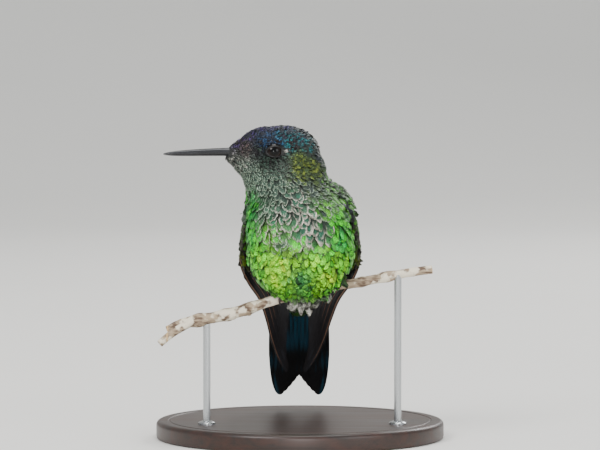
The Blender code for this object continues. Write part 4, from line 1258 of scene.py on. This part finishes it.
def vane_material(name, dark, light, sheen, metallic):
    """Flight feather vanes: near-black keratin with fine parallel barbs, a cold gloss, and lighter streaks of
    painted sheen.
    """
    material, tree = new_material(name)
    barbs = add_node(tree, "ShaderNodeUVMap", uv_map="barbs")
    parts = add_node(tree, "ShaderNodeSeparateXYZ", {0: barbs.outputs[0]})
    wide = add_node(tree, "ShaderNodeMath", {0: parts.outputs[0]}, operation="ABSOLUTE")
    slant = add_node(
        tree, "ShaderNodeMath", {0: wide.outputs[0], 1: -1.3, 2: parts.outputs[1]}, operation="MULTIPLY_ADD"
    )
    lines = add_node(tree, "ShaderNodeCombineXYZ", {0: slant.outputs[0], 1: wide.outputs[0]})
    # Real barbs are a tenth of a millimetre apart: drawn twice as coarse, so that they show
    wave = add_node(
        tree,
        "ShaderNodeTexWave",
        {"Vector": lines.outputs[0], "Scale": 1.5, "Distortion": 1.2, "Detail": 2.0, "Detail Scale": 1.0},
    )
    # Lighter streaks, about 2 mm wide and 20 mm long: painted sheen, which on the tail is partly its own
    # steel blue
    drawn = add_node(tree, "ShaderNodeMapping", {"Vector": barbs.outputs[0], "Scale": (0.42, 0.045, 1.0)})
    streaks = add_node(tree, "ShaderNodeTexNoise", {"Vector": drawn.outputs[0], "Scale": 1.0, "Detail": 2.0})
    base = blended(tree, streaks.outputs[0], (0.53, 0.75), opaque(dark), opaque(light))
    lit = shaded(tree, base, wave.outputs["Fac"], 0.7, 1.25)
    inputs = {"Base Color": lit, "Metallic": metallic, "Roughness": sheen}
    surface(tree, inputs, relief=(wave.outputs["Fac"], 0.5, 0.06 * MM))
    return material


def shaft_material(name, tone):
    """Feather shafts: smooth horn with a soft shine."""
    material, tree = new_material(name)
    lit = shaded(tree, tone, grained(tree, (4.545, 4.545, 4.545), 3.0), 0.7, 1.3)
    surface(tree, {"Base Color": lit, "Roughness": 0.38})
    return material


def quills_together(all_rows, shaft):
    """Several long feathers as one mesh of vanes and one of shafts. The first has the thickest shaft."""
    vanes, shafts = bmesh.new(), bmesh.new()
    for rank, rows in enumerate(all_rows):
        vane, stem = quill(rows, shaft if rank == 0 else shaft * 0.55)
        merged(vanes, vane)
        merged(shafts, stem)
    return vanes, shafts


class HUMMINGBIRD_OT_flight_feathers(bpy.types.Operator):
    """The folded primaries of each wing, one by one, with their shafts"""

    bl_idname = "hummingbird.flight_feathers"
    bl_label = "Flight feathers"

    def execute(self, context):
        settings = context.scene.bird_wing_tail
        vane = vane_material("flight_vane", settings.wing_black, settings.wing_sheen, 0.42, 0.15)
        stem = shaft_material("primary_shaft", settings.shaft)
        for side, name in SIDES:
            rows = [primary_rows(side, rank, settings) for rank in range(PRIMARIES)]
            vanes, shafts = quills_together(rows, PRIMARY_SHAFT)
            nodes = f"wing_flight_{name}"
            piece(f"primaries_{name}", metre_mesh("primaries", vanes), vane, "flight_feathers", nodes)
            piece(f"primary_shafts_{name}", metre_mesh("shafts", shafts), stem, "flight_feathers")
        return {"FINISHED"}


class HUMMINGBIRD_OT_tail(bpy.types.Operator):
    """Ten tail feathers in a shallow fork, one by one, with their shafts"""

    bl_idname = "hummingbird.tail"
    bl_label = "Tail"

    def execute(self, context):
        settings = context.scene.bird_wing_tail
        vane = vane_material("tail_vane", settings.tail_black, settings.tail_blue, 0.34, 0.35)
        stem = shaft_material("tail_shaft", settings.wing_sheen)
        rows = [rectrix_rows(side, rank, settings) for side in (1, -1) for rank in range(TAIL_PAIRS)]
        vanes, shafts = quills_together(rows, TAIL_SHAFT)
        piece("tail_vanes", metre_mesh("tail_vanes", vanes), vane, "tail_feathers", "tail")
        piece("tail_shafts", metre_mesh("tail_shafts", shafts), stem, "tail_feathers")
        return {"FINISHED"}


# ---- eyes and bill ----


def eye_material():
    """A wet eye: a black pupil, a thin dark-brown iris, under a clear curved cornea."""
    material, tree = new_material("wet_eye")
    tint = add_node(tree, "ShaderNodeAttribute", attribute_name="tint")
    lit = shaded(tree, tint.outputs["Color"], grained(tree, (0.3846, 0.3846, 0.3846), 2.0), 0.6, 1.4)
    surface(tree, {"Base Color": lit, "Roughness": 0.03, "IOR": 1.376, "Specular IOR Level": 0.3})
    return material


def leather_material(name, tone, grain_size):
    """Bare dark skin with a fine grain in millimetres, as on a bird's lids and legs."""
    material, tree = new_material(name)
    place = add_node(tree, "ShaderNodeTexCoord")
    grain = add_node(
        tree, "ShaderNodeTexVoronoi", {"Vector": place.outputs["Object"], "Scale": 1 / (grain_size * MM)}
    )
    lit = shaded(tree, tone, grain.outputs["Distance"], 1.25, 0.55)
    bump = add_node(
        tree,
        "ShaderNodeBump",
        {"Strength": 0.6, "Distance": 0.08 * MM, "Height": grain.outputs["Distance"]},
        invert=True,
    )
    surface(tree, {"Base Color": lit, "Roughness": 0.5, "Normal": bump.outputs[0]})
    return material


class HUMMINGBIRD_OT_eyes(bpy.types.Operator):
    """Two wet eyes and the bare lids round them"""

    bl_idname = "hummingbird.eyes"
    bl_label = "Eyes"

    def execute(self, context):
        settings = context.scene.bird_bill_eye
        radius = mm_of(settings.eye_diameter) / 2
        wet = eye_material()
        lid = leather_material("lid_skin", settings.lid, LID_GRAIN)
        for side, name in SIDES:
            middle = head_point(EYE_PLACE[0], side * EYE_PLACE[1], EYE_PLACE[2])
            gaze = head_way(0.10, side, 0.02).normalized()
            turn = gaze.to_track_quat("Z", "Y").to_matrix().to_4x4()
            bm = bmesh.new()
            place = Matrix.Translation(middle) @ turn
            bmesh.ops.create_uvsphere(bm, u_segments=64, v_segments=48, radius=radius, matrix=place)
            mesh = metre_mesh(f"eye_globe_{name}", bm, sharp=180.0)
            points = mesh_points(mesh) / MM - np.array(middle)
            angle = np.degrees(np.arccos(np.clip(points @ np.array(gaze) / radius, -1, 1)))
            # In degrees from the gaze, the iris reaches from the pupil at 29 to the white's place at 49
            ring_share = smooth_share(27, 31, angle)[:, None] * (1 - smooth_share(46, 52, angle))[:, None]
            colour_layer(mesh, "tint", np.array(settings.iris[:])[None] * ring_share + 0.0015)
            piece(f"eye_globe_{name}", mesh, wet, "eye", f"eye_{name}")
            mesh = metre_mesh(f"lids_{name}", lid_ring(settings, middle, side, radius), sharp=180.0)
            piece(f"lids_{name}", mesh, lid, "crown_feathers")
        return {"FINISHED"}


def lid_ring(settings, middle, side, radius):
    """The lids: a soft rim round an oval opening on the globe, running out under the feathers."""
    out = head_way(0.0, side, 0.0)
    ahead = head_way(1.0, 0.0, 0.0)
    wide, high = mm_of(settings.lid_width) / 2, mm_of(settings.lid_height) / 2
    bm = bmesh.new()
    last = None
    segments = 56
    for grow, over in LID_PROFILE:
        verts, edges = ring(bm, Vector((0, 0, 0)), Vector((1, 0, 0)), Vector((0, 1, 0)), segments)
        for k, v in enumerate(verts):
            angle = 2 * math.pi * k / segments
            x = math.cos(angle) * wide * grow
            y = math.sin(angle) * high * (grow + 0.06 * (grow - 0.98))
            x *= 1 + 0.05 * math.cos(2 * angle)
            wrinkle = 0.018 * math.sin(14 * angle + 5 * grow) if 1.0 < grow < 1.3 else 0.0
            depth = math.sqrt(max(0.05, radius**2 - x * x - y * y))
            flat = Vector((x, y, depth)).normalized() * (radius + over + wrinkle)
            v.co = middle + ahead * flat.x + UP * flat.y + out * flat.z
        if last:
            bmesh.ops.bridge_loops(bm, edges=last + edges)
        else:
            first = edges
        last = edges
    bmesh.ops.bridge_loops(bm, edges=last + first)
    return bm


def bill_half(settings, upper):
    """One half of the bill in fine rings, flat along the mouth, with a ridge and a nostril groove."""
    forward, left, up = head_axes()
    root = head_point(*BILL_START) - forward * mm_of(settings.bill_root)
    long = mm_of(settings.bill_length) + mm_of(settings.bill_root)
    rings, segments = 56, 28
    bm = bmesh.new()
    last = None
    for i in range(rings):
        share = (i / (rings - 1)) ** 0.9
        taper = (1 - share**6) ** 0.5
        half_height, half_width = (
            max(BILL_TIP_RADIUS, (wide + (narrow - wide) * share) / 2 * taper) for wide, narrow in BILL_SIZES
        )
        middle = root + forward * share * long - up * BILL_DROOP * share**2.2
        # The halves meet a little under the middle
        mouth = -0.10 * half_height
        verts, edges = ring(bm, middle, left * half_width, up * half_height, segments)
        for k, v in enumerate(verts):
            angle = 2 * math.pi * k / segments
            x, z = math.cos(angle), math.sin(angle)
            if upper:
                z = max(z, 0.0)
                ridge = 1 + 0.05 * soft_bump(x, 0, 0.22) - 0.05 * soft_bump(abs(x), 0.5, 0.2)
                nostril = soft_bump(abs(x), 0.72, 0.16) * soft_bump(share, 0.20, 0.05)
                point = left * half_width * x * (1 - 0.16 * nostril)
                lip = 0.0 if z > 0 else -0.03
                v.co = middle + point + up * (half_height * z * ridge + lip + mouth + 0.04)
            else:
                z = min(z, 0.0)
                keel = 1 + 0.04 * soft_bump(x, 0, 0.25)
                height = half_height * z * keel * 0.92 + mouth - 0.03
                v.co = middle + left * half_width * x * 0.95 + up * height
        if last:
            bmesh.ops.bridge_loops(bm, edges=last + edges)
        else:
            bm.faces.new(verts)
        last = edges
    bm.faces.new(verts)
    return bm


def horn_material(settings):
    """A bird's horny bill: black keratin, worn a little grey along it, with fine lengthwise lines."""
    material, tree = new_material("bill_horn")
    lines = grained(tree, (10.42, 0.6944, 0.6944), 4.0, turn=(0, 0, -math.radians(HEAD_TURN)))
    base = blended(tree, lines, (0.46, 0.8), opaque(settings.horn), opaque(settings.horn_worn))
    surface(tree, {"Base Color": base, "Roughness": 0.34}, relief=(lines, 0.3, 0.05 * MM))
    return material


class HUMMINGBIRD_OT_bill(bpy.types.Operator):
    """The bill's two halves"""

    bl_idname = "hummingbird.bill"
    bl_label = "Bill"

    def execute(self, context):
        settings = context.scene.bird_bill_eye
        horn = horn_material(settings)
        for upper, node_name in ((True, "bill_upper"), (False, "bill_lower")):
            mesh = metre_mesh(f"{node_name}_horn", bill_half(settings, upper), sharp=60.0)
            piece(f"{node_name}_horn", mesh, horn, "bill", node_name)
        return {"FINISHED"}


# ---- feet, twig and stand ----

TWIG_STEPS = 401
TWIG_FINE = [GRIP + p for p in smooth_line(TWIG_LINE, TWIG_STEPS)]


def twig_radius(x, radius):
    """The twig's radius at a place along X, with its knots."""
    radius = radius - TWIG_TAPER * x
    for place, thicker, long in TWIG_KNOTS:
        radius += thicker * soft_bump(x, place, long)
    return radius


def grip_frame(x):
    """The point of the twig's middle line at a place along X, and the line's way there."""
    at = min(range(1, TWIG_STEPS - 1), key=lambda i: abs(TWIG_FINE[i].x - x))
    return TWIG_FINE[at], (TWIG_FINE[at + 1] - TWIG_FINE[at - 1]).normalized()


def toe_line(middle, axis, start, end, shift, reach, count):
    """Points round the twig, from one angle to another. 0 is behind it, 90 on top and 180 in front."""
    back = Vector((0, 1, 0))
    up = axis.cross(back).normalized()
    line = []
    for i in range(count):
        share = i / (count - 1)
        angle = math.radians(start + (end - start) * share)
        spread = axis * shift * min(1.0, 0.3 + share)
        knuckle = 1 + 0.18 * math.sin(math.pi * min(1.0, share * 1.5))
        line.append(middle + spread + (back * math.cos(angle) + up * math.sin(angle)) * reach * knuckle)
    return line


def toe_radii(toe):
    """From a toe's root to its claw: thinner, with pads under the joints, and closed at the end."""
    shares = [i / CLAW_POINT for i in range(CLAW_POINT)]
    pads = [1 + 0.10 * abs(math.sin(share * math.pi * 4.5)) for share in shares]
    return [*(toe * (1.0 - 0.30 * share) * pad for share, pad in zip(shares, pads)), toe * 0.35]


def claw_radii(toe):
    """From a claw's root to its point."""
    last = TOE_POINTS - CLAW_POINT + 1
    return [toe * 0.52 * (1 - (i / last) ** 1.6) + 0.03 for i in range(last + 1)]


def leg_tube(sole, side):
    """The scaled lower leg, from over the foot to its feathered knee."""
    mirror = Vector((side, 1, 1))
    heel = sole + Vector((-0.3, 3.2, 3.0)) * mirror
    knee = heel + Vector((0.2, -2.2, 4.2)) * mirror
    ankle = sole + (heel - sole).normalized() * 0.3
    count, scaled = 40, 24
    radii = []
    for i in range(count):
        scale = 0.03 * abs(math.sin(i * 0.9)) if i < scaled else 0.0
        radii.append(0.44 + 0.5 * (i / (count - 1)) ** 2 + scale)
    return tube(line_stations(smooth_line((ankle, heel, knee), count), radii), 16)


class HUMMINGBIRD_OT_feet(bpy.types.Operator):
    """Scaled legs and toes closed round the twig, and their claws"""

    bl_idname = "hummingbird.feet"
    bl_label = "Legs and feet"

    def execute(self, context):
        settings = context.scene.bird_perch
        skin = leather_material("leg_scales", settings.leg, SCALE_GRAIN)
        horn = leather_material("claw_horn", settings.claw, CLAW_GRAIN)
        toe = mm_of(settings.toe_radius)
        for side, name in SIDES:
            middle, axis = grip_frame(LEG_SPREAD * side)
            reach = twig_radius((middle - GRIP).x, mm_of(settings.twig_radius)) + BARK_ROOM + toe
            sole = middle + axis.cross(Vector((0, 1, 0))).normalized() * (reach + SOLE_RISE)
            foot, claws = bmesh.new(), bmesh.new()
            egg(foot, sole, SOLE_SIZE, rounds=12)
            for start, end, shift in TOES:
                line = toe_line(middle, axis, start, end, shift, reach, TOE_POINTS)
                merged(foot, tube(line_stations(line[: CLAW_POINT + 1], toe_radii(toe)), 14))
                merged(claws, tube(line_stations(line[CLAW_POINT - 2 :], claw_radii(toe)), 12))
            foot = remeshed(foot, 0.075, 3)
            leg = leg_tube(sole, side)
            piece(f"toes_{name}", metre_mesh("toes", foot), skin, "leg_skin", f"foot_{name}")
            piece(f"claws_{name}", metre_mesh("claws", claws), horn, "leg_skin")
            piece(f"tarsus_{name}", metre_mesh("tarsus", leg), skin, "leg_skin", f"leg_{name}")
        return {"FINISHED"}


def bark_material(settings):
    """Weathered thin twig: grey-tan bark with fine lengthwise cracks and cream lichen patches."""
    material, tree = new_material("twig_bark")
    cracks = grained(tree, (2.857, 0.6667, 0.6667), 5.0, turn=(0, 0.22, 0))
    patches = grained(tree, (2.3256, 2.3256, 2.3256), 4.0)
    ends = add_node(tree, "ShaderNodeAttribute", attribute_name="cut_end")
    # The darker tone lies in the cracks: partly the bark's own colour there, partly painted shade.
    base = blended(tree, cracks, (0.40, 0.56), opaque(settings.bark_dark), opaque(settings.bark))
    base = blended(tree, patches, (0.50, 0.58), base, opaque(settings.lichen))
    base = blended(tree, ends.outputs["Fac"], (0, 1), base, opaque(settings.cut_wood))
    height = add_node(tree, "ShaderNodeMath", {0: cracks, 1: patches}, operation="ADD")
    surface(tree, {"Base Color": base, "Roughness": 0.85}, relief=(height.outputs[0], 0.8, 0.2 * MM))
    return material


def roughened(line, radii, segments, depth, seed):
    """A twig along a line, its rings pushed in and out by bark, and its end faces inset."""

    def shape(i, angle):
        x = line[i].x
        spot = Vector((x * 0.5, math.cos(angle) * 1.1 + seed, math.sin(angle) * 1.1))
        fine = Vector((x * 1.6, math.cos(angle) * 3.2, math.sin(angle) * 3.2 + seed))
        return 1 + depth * noise.noise(spot) + depth * 0.55 * noise.noise(fine)

    bm = tube(line_stations(line, radii), segments, shape)
    ends = [f for f in bm.faces if len(f.verts) > 4]
    bmesh.ops.inset_region(bm, faces=ends, thickness=radii[0] * 0.12, depth=-0.03, use_even_offset=True)
    return bm


class HUMMINGBIRD_OT_twig(bpy.types.Operator):
    """The cut length of twig the bird sits on, with its knots and a short side twig"""

    bl_idname = "hummingbird.twig"
    bl_label = "Twig"

    def execute(self, context):
        settings = context.scene.bird_perch
        line = [GRIP + p for p in smooth_line(TWIG_LINE, 240)]
        radius = mm_of(settings.twig_radius)
        radii = [twig_radius((p - GRIP).x, radius) for p in line]
        bm = roughened(line, radii, 36, 0.10, 0.0)
        side_line = [GRIP + p for p in smooth_line(TWIG_BRANCH, 60)]
        side_radius = mm_of(settings.branch_radius)
        side_radii = [side_radius * (1.15 - 0.15 * i / 59) for i in range(60)]
        merged(bm, roughened(side_line, side_radii, 28, 0.09, 9.0))
        for x, z, size, lean in TWIG_BUDS:
            egg(bm, GRIP + Vector((x, 0.1, z)), (size * 1.1, size, size * 0.9), rounds=14, lean=lean)
        mesh = metre_mesh("twig", bm)
        points = mesh_points(mesh) / MM - np.array(GRIP)
        # The sawn ends of the twig stand 29 mm out from the grip
        cut = (np.abs(points[:, 0]) > 28.96) & (np.abs(points[:, 0]) < 29.3)
        marks = mesh.attributes.new("cut_end", "FLOAT", "POINT")
        marks.data.foreach_set("value", cut.astype(np.float32))
        piece("twig", mesh, bark_material(settings), "twig", "perch")
        return {"FINISHED"}


def wood_material(settings):
    """Turned walnut with a rubbed wax finish: dark straight grain and a soft shine."""
    material, tree = new_material("waxed_walnut")
    turn = (0.02, 0.05, 0.12)
    rings = grained(tree, (33.33, 2.381, 2.381), 6.0, turn, distortion=0.6)
    pores = grained(tree, (4.545, 0.3846, 0.3846), 2.0, turn)
    base = blended(tree, rings, (0.36, 0.62), opaque(settings.walnut_grain), opaque(settings.walnut))
    lit = shaded(tree, base, pores, 0.6, 1.0, span=(0.3, 0.5))
    rough = add_node(tree, "ShaderNodeMapRange", {"Value": rings, "To Min": 0.34, "To Max": 0.5})
    inputs = {"Base Color": lit, "Roughness": rough.outputs[0], "Coat Weight": 0.1, "Coat Roughness": 0.3}
    surface(tree, inputs, relief=(pores, 0.25, 0.06 * MM))
    return material


def steel_material(settings):
    """Drawn stainless rod, polished lengthwise."""
    material, tree = new_material("polished_steel")
    lines = grained(tree, (0.25, 0.25, 16.67), 3.0)
    rough = add_node(tree, "ShaderNodeMapRange", {"Value": lines, "To Min": 0.16, "To Max": 0.36})
    inputs = {"Base Color": opaque(settings.steel), "Metallic": 1.0, "Roughness": rough.outputs[0]}
    surface(tree, inputs, relief=(lines, 0.15, 0.02 * MM))
    return material


def turned(profile, segments=160):
    """A shape turned on a lathe from its profile of radius and height."""
    bm = bmesh.new()
    verts = [bm.verts.new((r, 0, z)) for r, z in profile]
    edges = [bm.edges.new(pair) for pair in zip(verts, verts[1:])]
    bmesh.ops.spin(
        bm,
        geom=[*verts, *edges],
        axis=(0, 0, 1),
        cent=(0, 0, 0),
        steps=segments,
        angle=2 * math.pi,
        use_merge=True,
    )
    bmesh.ops.remove_doubles(bm, verts=bm.verts, dist=0.001)
    return bm


def base_profile(radius, height):
    """The base from its middle below to its middle above: eased foot, round edge and a cut ring."""
    foot = [(0, 0), (radius - 0.6, 0), (radius - 0.1, 0.25), (radius, 0.7)]
    foot.append((radius, height - BASE_EDGE - 0.5))
    middle = (radius - BASE_EDGE, height - BASE_EDGE)
    turns = [math.pi / 2 * i / 8 for i in range(9)]
    edge = [(middle[0] + BASE_EDGE * math.cos(a), middle[1] + BASE_EDGE * math.sin(a)) for a in turns]
    cut = [(radius - inward, height - deep) for inward, deep in BASE_GROOVE]
    return [*foot, *edge, *cut, (0, height)]


class HUMMINGBIRD_OT_stand(bpy.types.Operator):
    """The turned base, its two rods and the collars they stand in"""

    bl_idname = "hummingbird.stand"
    bl_label = "Stand"

    def execute(self, context):
        settings = context.scene.bird_perch
        radius, height = mm_of(settings.base_radius), mm_of(settings.base_height)
        base = metre_mesh("base", turned(base_profile(radius, height)), sharp=35.0)
        piece("stand_disc", base, wood_material(settings), "stand_wood", "stand_base")
        steel = steel_material(settings)
        rod = mm_of(settings.rod_radius)
        collar = [(rod + wide, high) for wide, high in COLLAR_PROFILE]
        for name, x in ROD_PLACES:
            bm = turned(collar, 48)
            bmesh.ops.translate(bm, vec=(x, GRIP.y, height), verts=bm.verts)
            piece(f"stand_collar_{name}", metre_mesh("collar", bm, sharp=35.0), steel, "stand_rod")
            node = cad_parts[f"stand_rod_{name}"]
            node.data.materials.clear()
            node.data.materials.append(steel)
        return {"FINISHED"}


# ---- floor, light and camera ----


def floor_material(tone):
    """Matt card: an even pale surface with the faintest mottling."""
    material, tree = new_material("floor_card")
    lit = shaded(tree, tone, grained(tree, (111.1, 111.1, 111.1), 2.0), 0.98, 1.02)
    surface(tree, {"Base Color": lit, "Roughness": 0.9})
    return material


def floor_mesh():
    """A plain sheet that curves up behind the model, in metres."""
    bm = bmesh.new()
    line = [Vector((-FLOOR_SIDE, -FLOOR_FRONT, 0)), Vector((-FLOOR_SIDE, FLOOR_CURVE, 0))]
    for i in range(1, FLOOR_STEPS + 1):
        angle = math.pi / 2 * i / FLOOR_STEPS
        back, up = FLOOR_CURVE * (1 + math.sin(angle)), FLOOR_CURVE * (1 - math.cos(angle))
        line.append(Vector((-FLOOR_SIDE, back, up)))
    line.append(Vector((-FLOOR_SIDE, 2 * FLOOR_CURVE, FLOOR_HEIGHT)))
    verts = [bm.verts.new(p) for p in line]
    edges = [bm.edges.new(pair) for pair in zip(verts, verts[1:])]
    grown = bmesh.ops.extrude_edge_only(bm, edges=edges)["geom"]
    moved = [v for v in grown if isinstance(v, bmesh.types.BMVert)]
    bmesh.ops.translate(bm, vec=(2 * FLOOR_SIDE, 0, 0), verts=moved)
    bmesh.ops.recalc_face_normals(bm, faces=bm.faces)
    mesh = bpy.data.meshes.new("floor")
    bm.to_mesh(mesh)
    bm.free()
    mesh.shade_smooth()
    return mesh


def hang_lights(scene, aim):
    """An even pale room, and round soft lamps that all point at the model."""
    world = bpy.data.worlds.new("soft_room")
    world.use_nodes = True
    sky = world.node_tree.nodes["Background"]
    sky.inputs[0].default_value = (0.92, 0.96, 1.0, 1.0)
    sky.inputs[1].default_value = 0.7
    scene.world = world
    for name, place, size, power in LAMPS:
        lamp = bpy.data.lights.new(name, "AREA")
        lamp.shape = "DISK"
        lamp.size = size
        lamp.energy = power
        obj = bpy.data.objects.new(name, lamp)
        obj.location = place
        obj.rotation_euler = (aim - Vector(place)).to_track_quat("-Z", "Y").to_euler()
        scene.collection.objects.link(obj)


def place_camera(scene, settings, aim):
    """A long lens in front of the bird's breast, a little above it."""
    camera = bpy.data.cameras.new("camera")
    camera.lens = settings.lens
    camera.sensor_width = 36.0
    camera.clip_start = 0.01
    obj = bpy.data.objects.new("camera", camera)
    back = Vector((0, -math.cos(settings.elevation), math.sin(settings.elevation)))
    obj.location = aim + back * settings.distance
    obj.rotation_euler = (-back).to_track_quat("-Z", "Y").to_euler()
    scene.collection.objects.link(obj)
    scene.camera = obj


class HUMMINGBIRD_OT_stage(bpy.types.Operator):
    """The floor, the soft lights and the camera"""

    bl_idname = "hummingbird.stage"
    bl_label = "Stage"

    def execute(self, context):
        settings = context.scene.bird_stage
        floor = bpy.data.objects.new("floor", floor_mesh())
        floor.data.materials.append(floor_material(settings.floor))
        context.scene.collection.objects.link(floor)
        aim = Vector((0, 0, settings.aim_height))
        hang_lights(context.scene, aim)
        place_camera(context.scene, settings, aim)
        return {"FINISHED"}


# ---- the add-on ----


class HUMMINGBIRD_PT_panel(bpy.types.Panel):
    """Lists the settings, and a button for each step that makes the pieces"""

    bl_idname = "HUMMINGBIRD_PT_panel"
    bl_label = "Hummingbird"
    bl_space_type = "VIEW_3D"
    bl_region_type = "UI"
    bl_category = "Hummingbird"

    def draw(self, context):
        for attribute in SETTINGS:
            box = self.layout.box()
            group = getattr(context.scene, attribute)
            for name in group.bl_rna.properties.keys():
                if name not in ("rna_type", "name"):
                    box.prop(group, name)
        for operator in OPERATORS:
            self.layout.operator(operator.bl_idname)


SETTINGS = {
    "bird_plumage": PlumageSettings,
    "bird_bill_eye": BillEyeSettings,
    "bird_wing_tail": WingTailSettings,
    "bird_perch": PerchSettings,
    "bird_stage": StageSettings,
}
OPERATORS = (
    HUMMINGBIRD_OT_skin,
    HUMMINGBIRD_OT_coat,
    HUMMINGBIRD_OT_wing_coverts,
    HUMMINGBIRD_OT_flight_feathers,
    HUMMINGBIRD_OT_tail,
    HUMMINGBIRD_OT_eyes,
    HUMMINGBIRD_OT_bill,
    HUMMINGBIRD_OT_feet,
    HUMMINGBIRD_OT_twig,
    HUMMINGBIRD_OT_stand,
    HUMMINGBIRD_OT_stage,
)


def register():
    for made in (*SETTINGS.values(), *OPERATORS, HUMMINGBIRD_PT_panel):
        bpy.utils.register_class(made)
    for attribute, group in SETTINGS.items():
        setattr(bpy.types.Scene, attribute, PointerProperty(type=group))


def unregister():
    for attribute in SETTINGS:
        delattr(bpy.types.Scene, attribute)
    for made in (HUMMINGBIRD_PT_panel, *reversed(OPERATORS), *reversed(SETTINGS.values())):
        bpy.utils.unregister_class(made)


def main():
    register()
    for operator in OPERATORS:
        group, name = operator.bl_idname.split(".")
        getattr(getattr(bpy.ops, group), name)()


if __name__ == "__main__":
    main()
